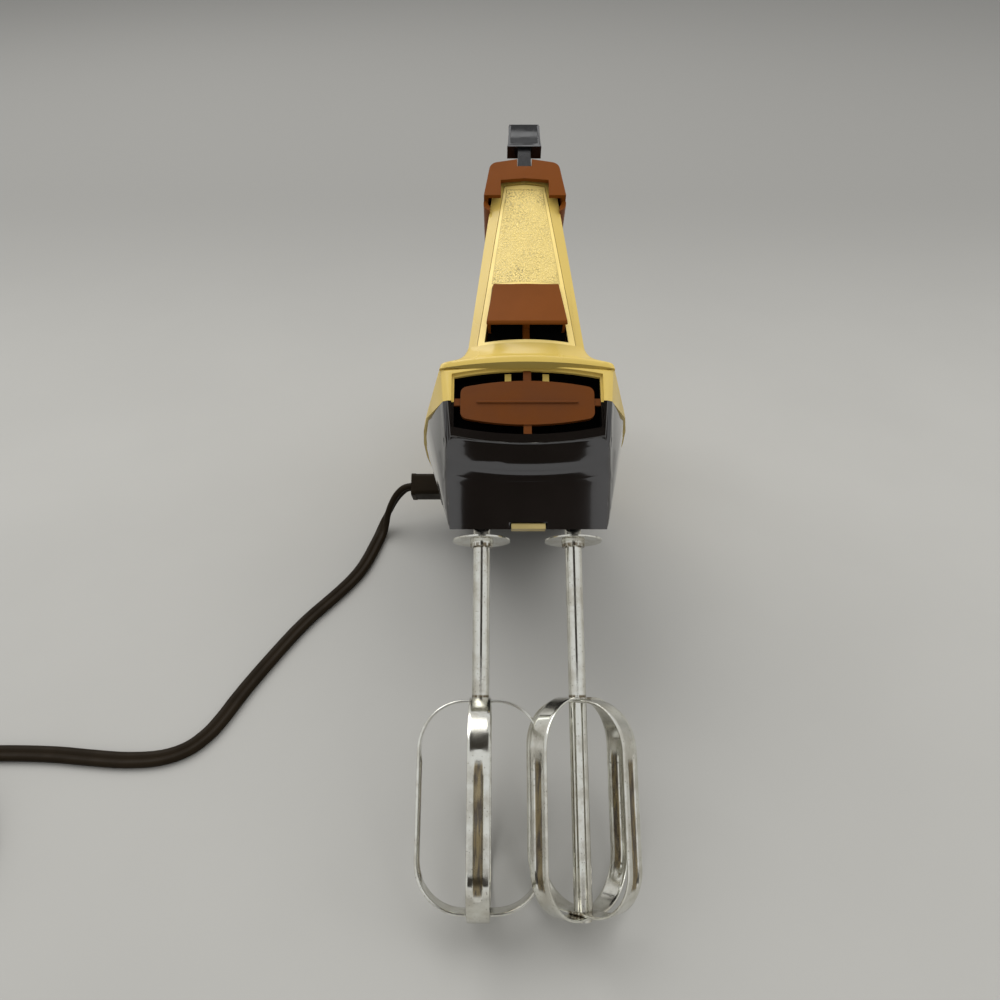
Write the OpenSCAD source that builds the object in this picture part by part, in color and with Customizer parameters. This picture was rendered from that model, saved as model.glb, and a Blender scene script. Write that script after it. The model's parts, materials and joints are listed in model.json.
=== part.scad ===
// Two-beater electric hand mixer with a detachable cord, laid down on its heel and its beaters.
// Every piece is drawn in the mixer's own upright frame: X to the right, -Y forwards, +Z up along
// the beater shafts, with z = 0 at the splash discs and y = 0 in the plane of the two shafts.
// laid_down() then puts it on the table.

/* [Housing] */
// Width of the motor body at its widest
body_w = 91; // [89:1:98]
// Length of the motor body, nose to tail
body_l = 148; // [145:1:156]
// Width of the flat base
base_w = 60; // [59:1:64]
// Height of the chin's lower edge above the splash discs
base_z = 1; // [0.8:0.1:1.2]
// Height of the seam between the two shells
seam_z = 52; // [51:0.5:54]
// Height of the crest over the nose opening
crest_z = 68.4; // [67:0.2:72]
// Height of the top of the motor barrel
barrel_z = 95; // [92:1:98]
// Width of the nose at its crest
nose_w = 70.6; // [68:0.2:74]
// Distance from the beater shafts forwards to the nose
nose_l = 16; // [15.6:0.1:17]
// Wall of the two shells
wall = 2.4; // [2:0.1:2.6]
// How far the upper shell's rim stands out past the lower shell
rim_lip = 0.8; // [0.4:0.1:1.2]
// How far behind the shafts the heel's lower edge is
heel_y = 119.5; // [118:0.5:121]
// How steeply the underside and the motor rise from the chin to the heel, in degrees
rake = 12.8; // [12.6:0.1:13]

/* [Nose opening] */
// Width of the nose opening
opening_w = 58; // [54:1:60]
// Height of the bottom of the opening
opening_z = 38.6; // [38.4:0.2:40]
// Height of the opening
opening_h = 26.9; // [24:0.1:27]
// Bulge of the opening's top and bottom edges
opening_bulge = 3; // [1:0.5:4]
// Depth of the opening
opening_d = 9.5; // [8:0.5:10]
// Width of the badge plate in the opening
badge_w = 52.8; // [44:0.2:53]
// Height of the badge plate at its middle
badge_h = 18.6; // [14:0.2:19]

/* [Handle] */
// Height of the top of the grip
grip_z = 171; // [168:1:176]
// Thickness of the grip, top to underside
grip_t = 28; // [26:1:29]
// Width of the grip at its underside
grip_w = 36; // [35.4:0.2:40]
// Width of the grip at its top
grip_top_w = 31; // [30:0.5:33]
// Wall of the grip halves
grip_wall = 1.8; // [1.6:0.1:2]
// How far behind the shafts the grip ends
grip_end_y = 121; // [118:1:126]
// Width of the front post at its foot
post_w = 48; // [44:1:50]
// Width of the front post at its top
post_top_w = 26.6; // [24:0.2:27]
// Depth of the front post, front to back
post_d = 27; // [25:1:30]
// How far the front post leans back, in degrees
post_lean = 4; // [3:0.5:5]
// How far the grip's cap stands out past the post
cap_proud = 3.5; // [2.5:0.1:4.5]

/* [Beaters] */
// Distance between the two beater shafts
beater_gap = 36; // [36:0.1:37]
// Diameter of a beater shaft
shaft_d = 6.5; // [6:0.1:6.6]
// Width of a beater's loops
loop_w = 45.5; // [43:0.5:47]
// Height of a beater's loops
loop_h = 73; // [68:1:78]
// Depth of the loops' tips below the splash discs
tip_drop = 133; // [128:1:138]
// Radius of the loops' corners
loop_r = 18; // [15:1:20]
// Width of the loops' strip
strip_w = 7.8; // [6.5:0.1:8.2]
// Thickness of the strip
strip_t = 1; // [0.8:0.1:1.2]
// Diameter of the splash discs
disc_d = 22.5; // [20:0.5:24]

/* [Drive] */
// Number of teeth on a beater gear
gear_teeth = 18; // [17:1:18]
// Pitch of the worm and of the gear teeth
pitch = 4; // [3.9:0.05:4]
// Height of the motor shaft above the splash discs
motor_z = 28.6; // [28.4:0.1:28.8]
// Thickness of the beater gears
gear_t = 6; // [5:0.5:6]
// Diameter of the motor shaft
motor_shaft_d = 6; // [5:0.2:6.4]
// Width of the stator
stator_w = 58; // [54:1:58]
// Height of the stator
stator_h = 42; // [40:1:43]
// Length of the laminations
stack_l = 34; // [30:1:35]
// Diameter of the armature
armature_d = 32.8; // [30:0.2:34]
// Number of armature slots
slots = 12; // [10:2:16]
// Diameter of the fan
fan_d = 39; // [36:1:40]
// Number of fan blades
blades = 9; // [7:1:12]

/* [Controls] */
// Travel of the ejector button
ejector_travel = 6; // [5:0.5:6]
// Width of the ejector button at its lower edge
ejector_w = 32; // [28:1:33]
// Height of the ejector button's hood
ejector_h = 20; // [17:1:21]
// How far the hood's lower edge stands out
ejector_proud = 6; // [5:0.2:8]
// Width of the speed lever's knob
knob_w = 15.2; // [13:0.2:18]
// Height of the knob
knob_h = 14.5; // [11:0.5:15]
// Width of the lever's stem
stem_w = 5.8; // [5:0.1:6]

/* [Cord] */
// Width of the flat cord
cord_w = 7; // [6.6:0.1:7]
// Thickness of the flat cord
cord_t = 3.5; // [3.3:0.1:3.5]
// Mean radius of the coil
coil_r = 38.5; // [38:0.5:40]

/* [Hidden] */
$fn = 48;

// Colours of the materials
gold = [0.86, 0.76, 0.47];
dark = [0.07, 0.055, 0.05];
tan_brown = [0.47, 0.27, 0.16];
black = [0.03, 0.03, 0.035];
chrome = [0.82, 0.83, 0.84];
steel = [0.6, 0.61, 0.63];
cast = [0.55, 0.56, 0.58];
copper = [0.72, 0.4, 0.22];
bronze = [0.63, 0.46, 0.25];
nylon = [0.9, 0.88, 0.8];
carbon = [0.12, 0.12, 0.13];
olive = [0.2, 0.16, 0.1];

// Clearances
running = 0.05;   // a shaft in its bore, each side
fit = 0.2;        // a piece in its seat, each side
air = 0.6;        // a part that turns past a fixed one
eps = 0.01;
deep = 200;       // a cut that goes right through

// Housing: places along the body
nose_y = -nose_l;
tail_y = nose_y + body_l;
front_wall_y = nose_y + wall;

// Loft stations: share of the length, share of the width, height of the top, share of the base
stations = [
    [0.000, 0.74, crest_z, 1.00],
    [0.128, 0.895, crest_z + 0.36 * (barrel_z - crest_z), 1.00],
    [0.230, 0.955, crest_z + 0.70 * (barrel_z - crest_z), 1.00],
    [0.340, 0.99, crest_z + 0.92 * (barrel_z - crest_z), 1.00],
    [0.460, 1.00, barrel_z, 1.00],
    [0.620, 0.98, barrel_z - 0.5, 1.00],
    [0.760, 0.925, barrel_z - 3.5, 0.98],
    [0.870, 0.82, barrel_z - 10, 0.90],
    [0.945, 0.67, barrel_z - 18, 0.74],
    [0.985, 0.50, barrel_z - 26, 0.56],
    [1.000, 0.36, barrel_z - 32, 0.40]];
corner_r = 8;     // rounding along the base's long edges
function base_at(y) = base_z + (y - nose_y) * tan(rake);
function half_at(y) = body_w / 2 * lookup((y - nose_y) / body_l, [for (s = stations) [s[0], s[1]]]);

// Laid down: the floor touches the heel's edge and the round corner of a loop
loop_cy = loop_w / 2 - loop_r;
loop_cz = -tip_drop + loop_r;
heel_z = base_at(heel_y);
heel_run = heel_y - loop_cy;
heel_rise = heel_z - loop_cz;
tilt = atan2(heel_rise, heel_run) + asin(loop_r / norm([heel_run, heel_rise]));
lift = heel_y * sin(tilt) - heel_z * cos(tilt);
grip_r = 9;       // rounding of the grip's ends
reach_front = -loop_cy * cos(tilt) + loop_cz * sin(tilt) - loop_r;
reach_back = (grip_end_y - grip_r) * cos(tilt) + (grip_z - grip_r) * sin(tilt) + grip_r;
shift_y = -(reach_front + reach_back) / 2;

module laid_down() translate([0, shift_y, lift]) rotate([-tilt, 0, 0]) children();

// The motor leans with the underside, about the point where its worm meets the gears
module leaned() translate([0, 0, motor_z]) rotate([rake, 0, 0]) translate([0, 0, -motor_z]) children();
// A shape drawn in X and Z, extruded from y0 to y1
module along_y(y0, y1) translate([0, y1, 0]) rotate([90, 0, 0]) linear_extrude(y1 - y0) children();
// A shape drawn in Y and Z, extruded from x0 to x1
module along_x(x0, x1) translate([x0, 0, 0]) rotate([90, 0, 90]) linear_extrude(x1 - x0) children();
// A tube or rod along Y
module rod_y(y0, y1, r) translate([0, y0, motor_z]) rotate([-90, 0, 0]) cylinder(h = y1 - y0, r = r);
module rod_z(x, y, z0, z1, r) translate([x, y, z0]) cylinder(h = z1 - z0, r = r);
module block(x0, x1, y0, y1, z0, z1) translate([x0, y0, z0]) cube([x1 - x0, y1 - y0, z1 - z0]);
module both_sides() for (s = [-1, 1]) scale([s, 1, 1]) children();
// An arc's points
function arc(cx, cy, r, a0, a1, n = 8) =
    [for (i = [0:n]) let (a = a0 + (a1 - a0) * i / n) [cx + r * cos(a), cy + r * sin(a)]];
function mirrored(points) = [for (i = [len(points) - 1:-1:0]) [-points[i][0], points[i][1]]];
module round_rect(w, h, r) {
    square([w - 2 * r, h], center = true);
    square([w, h - 2 * r], center = true);
    for (x = [-1, 1], y = [-1, 1]) translate([x * (w / 2 - r), y * (h / 2 - r)]) circle(r);
}

// ---- Housing

// One section of the body, shrunk by inset: an arched top on a tapered base with rounded edges
function section(w, top, base, foot, inset) = let (
        a = w - inset, h = top - inset - seam_z, b = base - inset, r = corner_r - inset,
        slope = atan2(w - base, seam_z - foot))
    concat([for (t = [0:7.5:180]) [a * cos(t), seam_z + h * sin(t)]],
        arc(-b + r, foot + inset + r, r, 180 + slope, 270, 5),
        arc(b - r, foot + inset + r, r, 270, 360 - slope, 5));

// The sides taper to the base's edges, so a higher base is wider
function base_half_at(y) = base_w / 2 + (body_w - base_w) / 2 * (base_at(y) - base_z) / (seam_z - base_z);
module body_form(inset, lip = 0) hull() {
    for (s = [1:len(stations) - 1]) let (
            st = stations[s],
            y = min(nose_y + st[0] * body_l, tail_y - inset - 0.1),
            w = st[1] * body_w / 2 + lip)
        along_y(y, y + 0.1) polygon(section(w, st[2], base_half_at(y) * st[3], base_at(y), inset));
    for (round = [[0, 3], [1, 0.9], [3, 0]])
        along_y(nose_y + inset + round[0], nose_y + inset + round[0] + 0.1)
            polygon(nose_section(inset + round[1]));
}

// The nose's flat front, a tapered shield with a bowed crest
nose_top_z = crest_z - 2.4;
function nose_section(inset) = let (
        half = nose_w / 2 - inset, low = base_w / 2 - inset, z0 = base_z + inset * 0.5)
    concat([[low, z0], [half, nose_top_z - inset * 0.5]],
        [for (i = [-4:4]) [-i / 4.5 * half, crest_z - inset * 0.6 - 2.2 * pow(i / 4.5, 2)]],
        [[-half, nose_top_z - inset * 0.5], [-low, z0]]);

// The nose's lower face: a slanted forehead, a cove under it and a plain chin
forehead_z = opening_z - 2;
module chin_cut(inset) translate([0, inset, 0]) along_x(-body_w, body_w) polygon(concat(
    [[nose_y - 5, forehead_z], [nose_y - eps, forehead_z], [nose_y + 1.4, forehead_z - 10]],
    arc(chin_y + 2.8, forehead_z - 16, 3.4, 150, 180, 4),
    [[chin_y, base_z - 1], [nose_y - 5, base_z - 1]]));

// The table's plane, cut off the heel
module below_table(inset) translate([0, heel_y, heel_z]) rotate([tilt, 0, 0])
    block(-body_w, body_w, -deep, deep, -deep, inset);
module body_outside(lip = 0) difference() {
    body_form(0, lip);
    chin_cut(0);
    below_table(0);
}
module body_inside(inset = wall) difference() {
    body_form(inset);
    chin_cut(inset);
    below_table(inset);
}

// The nose opening: a barrel shape drawn in X and Z
function barrel_shape(w, h, bulge, zc) = let (
        r = (w * w / 4 + bulge * bulge) / (2 * bulge), a = asin(w / 2 / r), top = zc + h / 2)
    concat(arc(0, top - r, r, 90 - a, 90 + a, 12), arc(0, zc - h / 2 + r, r, 270 - a, 270 + a, 12));
opening_zc = opening_z + opening_h / 2;
module opening_shape(grow = 0)
    polygon(barrel_shape(opening_w + 2 * grow, opening_h + 2 * grow, opening_bulge, opening_zc));
module opening_cut() {
    along_y(nose_y - 5, nose_y + opening_d) opening_shape();
    along_y(nose_y - 5, nose_y + 1.6) opening_shape(0.9);
}
// The wall round the opening, and the vent's ribs behind it
module opening_tunnel() along_y(front_wall_y - 1, nose_y + opening_d) opening_shape(1.6);
vent_rib_w = 2.6;
vent_y = nose_y + opening_d - 2;
module vent_ribs(xs) for (x = xs)
    block(x - vent_rib_w / 2, x + vent_rib_w / 2, vent_y, vent_y + 2, opening_z - 2, crest_z - 2);

// Two bars that hang from the tunnel's top, behind the badge plate
module vent_bars() both_sides()
    block(6.3, 8.9, nose_y + 4.2, nose_y + 6.4, seam_z + 1, opening_z + opening_h + 1);

// The inlet's seat in the body's left side
inlet_y = 99;
inlet_z = 50;
inlet_l = 20;
inlet_h = 17;
inlet_out = half_at(inlet_y);
inlet_face = 1.6; // how far the collar stands out
inlet_depth = 10;
module inlet_seat(clear) translate([-inlet_out - 4, inlet_y, inlet_z]) rotate([90, 0, 90])
    linear_extrude(inlet_depth) round_rect(inlet_l + 2 * clear, inlet_h + 2 * clear, 3);

// Screw towers
screw_r = 1.4;
screw_head_r = 2.3;
tower_r = 3.4;
towers = [[base_w / 2 - 4.6, 24.5], [base_w / 2 - 4.6, 87]];
tower_z = 40;
module at_towers() for (t = towers, s = [-1, 1]) let ($foot = base_at(t[1]))
    translate([s * t[0], t[1], 0]) children();

vent_slots = 7;
module tail_slots() for (i = [0:vent_slots - 1])
    translate([(i - (vent_slots - 1) / 2) * 5.4, 0, 0])
        along_x(-1.2, 1.2) polygon([[tail_y - 24, 62], [tail_y + 5, 58], [tail_y + 5, 66], [tail_y - 24, 70]]);
module base_slots() translate([0, nose_y, base_z]) rotate([rake, 0, 0]) for (i = [0:3])
    block(-13, 13, stack_y + 26 + i * 4.6, stack_y + 28.4 + i * 4.6, -1, wall + 1);

// ---- Front and rear posts

post_y = nose_y + 1;      // the face's foot, level with the crest
crown_r = 60;             // the face's roundness
post_root_r = 9;          // the hollow between post and crest
post_top = grip_z - 10.5;
module on_post() translate([0, post_y, crest_z]) rotate([-post_lean, 0, 0]) children();
function on_face(z) = (z - crest_z) / cos(post_lean);
function post_half(z) = post_w / 2 + (post_top_w - post_w) / 2 * (z - crest_z) / (post_top - crest_z);

// The post's outline from the front, drawn in X and Z
function post_outline(inset) = let (
        side = concat(
            [[post_half(crest_z) + post_root_r - inset, crest_z - 12]],
            arc(post_half(crest_z) + post_root_r, crest_z - 1.5 + post_root_r,
                post_root_r + inset, 270, 182, 8),
            [[post_half(post_top) - inset, post_top - max(inset, 0)]]))
    concat(side, mirrored(side));
// ... and from the side, drawn in Y and Z
post_back_y = post_y + post_d;
post_foot_z = barrel_z + 10.5;   // centre of the hollow behind the post
function post_side(inset) = concat(
    [[post_y - 20, crest_z - 12], [post_y - 20, post_top + 1]],
    [[post_back_y + 4 - inset, post_top + 1]],
    arc(post_back_y + 18, post_foot_z, 16 + inset, 180, 264, 10),
    [[post_back_y + 18, crest_z - 12]]);
module post_form(inset) intersection() {
    along_y(post_y - 20, post_y + 60) polygon(post_outline(inset));
    along_x(-deep, deep) polygon(post_side(inset));
    on_post() rod_z(0, crown_r, -20, deep, crown_r - max(inset, 0));
}

rear_post_y = grip_end_y - 27;
rear_half = 12;
module rear_post_form(inset) intersection() {
    along_y(rear_post_y - 20, tail_y) polygon([
        [-rear_half - 5 + inset, seam_z + 8], [-rear_half - 1 + inset, grip_z - 22 - max(inset, 0)],
        [rear_half + 1 - inset, grip_z - 22 - max(inset, 0)], [rear_half + 5 - inset, seam_z + 8]]);
    along_x(-deep, deep) polygon(concat(
        [[rear_post_y - 14, seam_z + 8]],
        arc(rear_post_y - 14, post_foot_z + 1.5, 14 + inset, 276, 360, 10),
        [[rear_post_y + inset, grip_z], [rear_post_y + 20 - inset, grip_z],
         [tail_y - 10 - inset, barrel_z - 16], [tail_y - 10 - inset, seam_z + 8]]));
}

// The panel let into the post's face: its outline in X and height up the face
panel_foot = on_face(78);
panel_head = on_face(grip_z - 13.5);
panel_t = 1.4;
panel_half_foot = 20.2;
panel_half_head = 8.9;
function panel_outline(inset) = let (bow = 1.4) concat(
    [[panel_half_foot - inset, panel_foot + inset], [panel_half_head - inset, panel_head - inset],
     [0, panel_head - inset + bow / 2], [-panel_half_head + inset, panel_head - inset],
     [-panel_half_foot + inset, panel_foot + inset], [0, panel_foot + inset - bow]]);
module panel_prism(inset, y0, y1) on_post() along_y(y0, y1) polygon(panel_outline(inset));
// The ejector's window in the panel
window_foot = on_face(79.4);
ejector_head = on_face(105.5);
ejector_foot = ejector_head - ejector_h;
ejector_top_w = ejector_w - 4.8;
function ejector_outline(grow, foot) = let (
        k = (ejector_w - ejector_top_w) / 2 / ejector_h,
        low = ejector_w / 2 + (ejector_foot - foot) * k) [
    [low + grow, foot], [ejector_top_w / 2 + grow, ejector_head + grow],
    [-ejector_top_w / 2 - grow, ejector_head + grow], [-low - grow, foot]];
module window_cut(y0, y1) on_post() along_y(y0, y1) polygon(ejector_outline(0.4, window_foot));
shelf_z = 72;     // the spring's shelf inside the post
rod_r = 2.2;

module upper_shell() color(gold) laid_down() difference() {
    union() {
        difference() {
            union() {
                intersection() {
                    body_outside(rim_lip);
                    block(-deep, deep, -deep, deep, seam_z, deep);
                }
                post_form(0);
                rear_post_form(0);
            }
            body_inside();
            post_form(wall);
            rear_post_form(wall);
        }
        intersection() {
            union() {
                opening_tunnel();
                vent_bars();
                block(-post_half(shelf_z), post_half(shelf_z), post_y + 3, post_back_y + 8,
                    shelf_z - 2, shelf_z);
                // the speed switch's shelf, and the bosses that hold the lever's pin
                block(-post_half(switch_z), post_half(switch_z), post_y + 3, post_back_y + 8,
                    switch_z - 2, switch_z);
                both_sides() translate([stem_w / 2 + 0.4, lever_y, lever_z]) rotate([0, 90, 0])
                    cylinder(h = post_top_w / 2, r = lever_r);
            }
            union() {
                body_inside(wall / 2);
                post_form(wall / 2);
            }
            block(-deep, deep, -deep, deep, seam_z, deep);
        }
        intersection() {
            at_towers() rod_z(0, 0, tower_z, barrel_z, tower_r);
            body_inside(wall / 2);
        }
    }
    difference() {
        opening_cut();
        vent_bars();
    }
    difference() {
        panel_prism(-fit / 2, -10, 8);
        on_post() rod_z(0, crown_r, -20, deep, crown_r - panel_t);
    }
    panel_prism(2.4, -10, 8);
    window_cut(-3, leg_back_y);
    lever_gap();
    lever_bore();
    at_towers() rod_z(0, 0, tower_z - 1, tower_z + 16, screw_r);
    rod_z(0, 0, shelf_z - 5, shelf_z + 5, rod_r + 0.3);
    inlet_seat(fit / 2);
    tail_slots();
}

module lower_shell() color(dark) laid_down() difference() {
    union() {
        difference() {
            body_outside();
            body_inside();
            block(-deep, deep, -deep, deep, seam_z, deep);
        }
        intersection() {
            union() {
                opening_tunnel();
                at_towers() rod_z(0, 0, $foot, tower_z, tower_r);
                // rails under the gear frame, and saddles for the stator and the rear bracket
                block(-gear_frame_half, gear_frame_half, -4, 0, base_z, frame_z);
                block(-gear_frame_half, gear_frame_half, frame_back_y - 3, frame_back_y, base_z, frame_z);
                leaned() {
                    for (y = [stack_y + 4, stack_y + stack_l - 8])
                        block(-12, 12, y, y + 4, base_z, motor_z - stator_h / 2);
                    block(-10, 10, bracket_y, bracket_y + 3, base_z, motor_z - bracket_h / 2);
                }
            }
            body_inside(wall / 2);
            block(-deep, deep, -deep, deep, base_z, seam_z);
        }
    }
    opening_cut();
    for (s = [-1, 1]) {
        rod_z(s * beater_gap / 2, 0, base_z - 2, frame_z + 1, hub_r + 1.5);
        // room for the gears' teeth behind the chin
        rod_z(s * beater_gap / 2, 0, motor_z - gear_t / 2 - 0.4, motor_z + gear_t / 2 + air,
            gear_pitch_r + tooth_h + 0.4);
    }
    at_towers() {
        rod_z(0, 0, $foot - 2, tower_z + 1, screw_r + 0.2);
        rod_z(0, 0, $foot - 2, $foot + 6, screw_head_r + fit);
    }
    // the notch for the gear frame's tongue
    block(-tongue_half - 0.5, tongue_half + 0.5, nose_y, chin_y + 5, base_z - 1, base_z + wall + 0.3);
    inlet_seat(fit / 2);
    base_slots();
}

module housing_screws() color(steel) laid_down() at_towers() {
    rod_z(0, 0, $foot + 6, tower_z + 15, screw_r - fit / 4);
    difference() {
        rod_z(0, 0, $foot + 4, $foot + 6, screw_head_r);
        block(-1.8, 1.8, -0.35, 0.35, $foot + 3, $foot + 4.8);
        block(-0.35, 0.35, -1.8, 1.8, $foot + 3, $foot + 4.8);
    }
}

// A barrel-shaped plate on four struts, with one plain raised bar
badge_y = nose_y + 1.2;
badge_t = 2;
module grille_badge() color(tan_brown) laid_down() {
    along_y(badge_y, badge_y + badge_t)
        polygon(barrel_shape(badge_w, badge_h, opening_bulge, opening_zc - 0.4));
    along_y(badge_y - 0.7, badge_y) translate([0, opening_zc - 0.2]) round_rect(40, 1, 0.45);
    both_sides() block(badge_w / 2 - 1, opening_w / 2, badge_y + 0.6, badge_y + badge_t,
        opening_zc - 1.5, opening_zc + 1.5);
    block(-1.6, 1.6, badge_y + 0.6, badge_y + badge_t, opening_z + fit / 2, opening_z + opening_h - fit / 2);
    difference() {
        union() {
            vent_ribs([-11, 11]);
            block(-1.6, 1.6, badge_y + badge_t, vent_y + 1, opening_zc - 3, opening_zc + 3);
            block(-11, 11, vent_y, vent_y + 1.4, opening_zc - 1.5, opening_zc + 1.5);
        }
        block(-deep, deep, -deep, deep, opening_z + opening_h - 0.6, deep);
        block(-deep, deep, -deep, deep, -deep, opening_z + 0.6);
    }
}

module handle_panel() color(gold) laid_down() difference() {
    intersection() {
        panel_prism(fit / 2, -2, 12);
        on_post() difference() {
            rod_z(0, crown_r, 0, deep, crown_r);
            rod_z(0, crown_r, -1, deep + 1, crown_r - panel_t);
        }
    }
    window_cut(-3, 13);
    // the sunk field that carries the grain
    intersection() {
        on_post() along_y(-3, 0.25) polygon([
            [14.3, ejector_head + 1.4], [8, panel_head - 2.2], [-8, panel_head - 2.2], [-14.3, ejector_head + 1.4]]);
        on_post() difference() {
            rod_z(0, crown_r, 0, deep, crown_r + 1);
            rod_z(0, crown_r, -1, deep + 1, crown_r - 0.25);
        }
    }
}

// ---- Grip

grip_foot_z = grip_z - grip_t;
cap_foot = on_face(grip_z - 22.5);
skirt_x = 15.2;   // the skirts beside the post run on below the cap's feet
cap_face = -cap_proud;    // the cap's front, measured from the post's face
function grip_section(inset) = let (
        low = grip_w / 2 - inset, high = grip_top_w / 2 - inset,
        z0 = grip_foot_z + inset, z1 = grip_z - inset, r = 4 - inset / 2, bow = 2.2)
    concat(arc(low - r, z0 + r, r, -90, 5, 5),
        arc(high - r, z1 - bow - r, r, 5, 75, 5), [[0, z1]],
        arc(-high + r, z1 - bow - r, r, 105, 175, 5),
        arc(-low + r, z0 + r, r, 175, 270, 5));
module grip_form(inset) intersection() {
    along_y(-deep, deep) polygon(grip_section(inset));
    along_x(-deep, deep) polygon(concat(
        [[-50, grip_z + 1], [grip_end_y - grip_r, grip_z + 1]],
        arc(grip_end_y - grip_r, grip_z - grip_r, grip_r - inset, 90, 0, 8),
        arc(grip_end_y - grip_r - 3, grip_foot_z + grip_r, grip_r - inset, 0, -90, 8),
        [[-50, grip_foot_z - 1]]));
    on_post() block(-deep, deep, cap_face + inset, deep, -deep, deep);
}
// The arch that leaves the panel's head in view, and the step under the cap's feet
module cap_cut() on_post() {
    along_y(cap_face - 1, 1.5) polygon(concat(
        [[10.4, 0], [10.4, on_face(grip_z - 12.4)], [0, on_face(grip_z - 11.4)],
         [-10.4, on_face(grip_z - 12.4)], [-10.4, 0]]));
    block(-deep, deep, cap_face - 1, -0.2, 0, cap_foot);
    block(-skirt_x, skirt_x, cap_face - 1, 2.6, 0, cap_foot);
}
slot_w = 6.4;
lever_y = 4;
lever_z = grip_z - 19;
lever_r = 4;
pin_r = 1.5;
stem_y = -8;      // where the stem passes the slot at rest
module lever_bore() translate([0, lever_y, lever_z]) rotate([0, 90, 0]) cylinder(h = pin_l, r = pin_r, center = true);
module lever_gap() block(-slot_w / 2, slot_w / 2, post_y + 7.4, lever_y + lever_r, lever_z, post_top + 1);
module lever_slot() block(-slot_w / 2, slot_w / 2, -40, lever_y + 7, grip_z - 4.5, grip_z + 5);
grip_screw_at = [[40, grip_z - 14], [96, grip_z - 10]];

module grip_half(side) color(tan_brown) laid_down() intersection() {
    union() {
        difference() {
            grip_form(0);
            grip_form(grip_wall);
            post_form(-fit);
            rear_post_form(-fit);
            cap_cut();
            lever_slot();
        }
        intersection() {
            grip_form(eps);
            difference() {
                for (p = grip_screw_at) translate([0, p[0], p[1]]) rotate([0, 90, 0])
                    cylinder(h = deep, r = 4.6, center = true);
            }
        }
    }
    difference() {
        scale([side, 1, 1]) block(0, deep, -deep, deep, 0, deep);
        for (p = grip_screw_at) translate([0, p[0], p[1]]) rotate([0, 90, 0]) {
            cylinder(h = 26, r = 1.4, center = true);
            translate([0, 0, 9]) cylinder(h = 30, r = 3);
        }
    }
}
module grip_left() grip_half(-1);
module grip_right() grip_half(1);
module grip_screws() color(steel) laid_down() for (p = grip_screw_at) translate([0, p[0], p[1]]) rotate([0, 90, 0]) {
    translate([0, 0, -12]) cylinder(h = 21, r = 1.3);
    difference() {
        translate([0, 0, 9]) cylinder(h = 2, r = 2.7);
        block(-0.4, 0.4, -2.2, 2.2, 10.2, 12);
        block(-2.2, 2.2, -0.4, 0.4, 10.2, 12);
    }
}

// ---- Inlet

pin_gap = 7;
module inlet_socket() color(dark) laid_down() translate([-inlet_out - inlet_face, inlet_y, inlet_z])
    rotate([90, 0, 90]) difference() {
        linear_extrude(inlet_depth - 4 + inlet_face) round_rect(inlet_l, inlet_h, 3);
        translate([0, 0, -1]) linear_extrude(1 + inlet_hole_d) round_rect(connector_l + 1, connector_h + 1, 2.5);
        for (s = [-1, 1]) translate([s * pin_gap / 2, 0, 0]) cylinder(h = 20, r = pin_bore_r, $fn = 24);
    }
connector_l = 15;
connector_h = 11.4;
inlet_hole_d = 4;
pin_bore_r = 1.2;
module inlet_pins() color(bronze) laid_down() for (s = [-1, 1])
    translate([-inlet_out - inlet_face + 0.4, inlet_y + s * pin_gap / 2, inlet_z]) rotate([0, 90, 0])
        cylinder(h = inlet_depth, r = pin_bore_r, $fn = 24);

// ---- Gears

gear_pitch_r = gear_teeth * pitch / (2 * PI);
worm_pitch_r = beater_gap / 2 - gear_pitch_r;
tooth_h = 1;      // tooth tip above the pitch line, and worm thread likewise
tooth_gap = 2.7;
hub_r = 5;
bush_r = 7;
frame_z = base_z + 10.4;
worm_half = 7;    // half the worm's length
worm_dip = worm_half * sin(rake);
deck_z = motor_z - worm_pitch_r - tooth_h - worm_dip - 0.6;     // top of the lower deck, under the worm
roof_z = motor_z + worm_pitch_r + tooth_h + worm_dip + 0.6;     // underside of the upper deck
roof_t = 2.6;
hub_foot = frame_z + 2;
hub_top = roof_z + roof_t;
gear_frame_half = 27;
frame_back_y = gear_pitch_r + tooth_h + 4;
socket_slot = 3.6;
chin_y = nose_y + 3.4;
tongue_half = 6.5;

function gear_outline(first) = [for (i = [0:gear_teeth - 1], c = [0:3]) let (
        a = first + 360 / gear_teeth * i,
        root = gear_pitch_r - tooth_h - 0.3, tip = gear_pitch_r + tooth_h,
        half_root = (pitch - tooth_gap + 0.7) / 2 / root * 57.3,
        half_tip = (pitch - tooth_gap - 0.5) / 2 / tip * 57.3,
        r = (c == 0 || c == 3) ? root : tip,
        da = c == 0 ? -half_root : c == 1 ? -half_tip : c == 2 ? half_tip : half_root)
    [r * cos(a + da), r * sin(a + da)]];
// The leaning worm's threads cross each gear at a slant, so the teeth slant too, in three steps
worm_lead = atan2(pitch, 2 * PI * worm_pitch_r);
gear_steps = 3;
module slanted_teeth(side, first) let (
        step_t = gear_t / gear_steps, turn = side * step_t * tan(rake + side * worm_lead) / gear_pitch_r * 57.3)
    for (i = [0:gear_steps - 1]) translate([0, 0, motor_z - gear_t / 2 + i * step_t])
        linear_extrude(step_t + (i < gear_steps - 1 ? eps : 0))
            polygon(gear_outline(first + (i - (gear_steps - 1) / 2) * turn));
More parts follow.
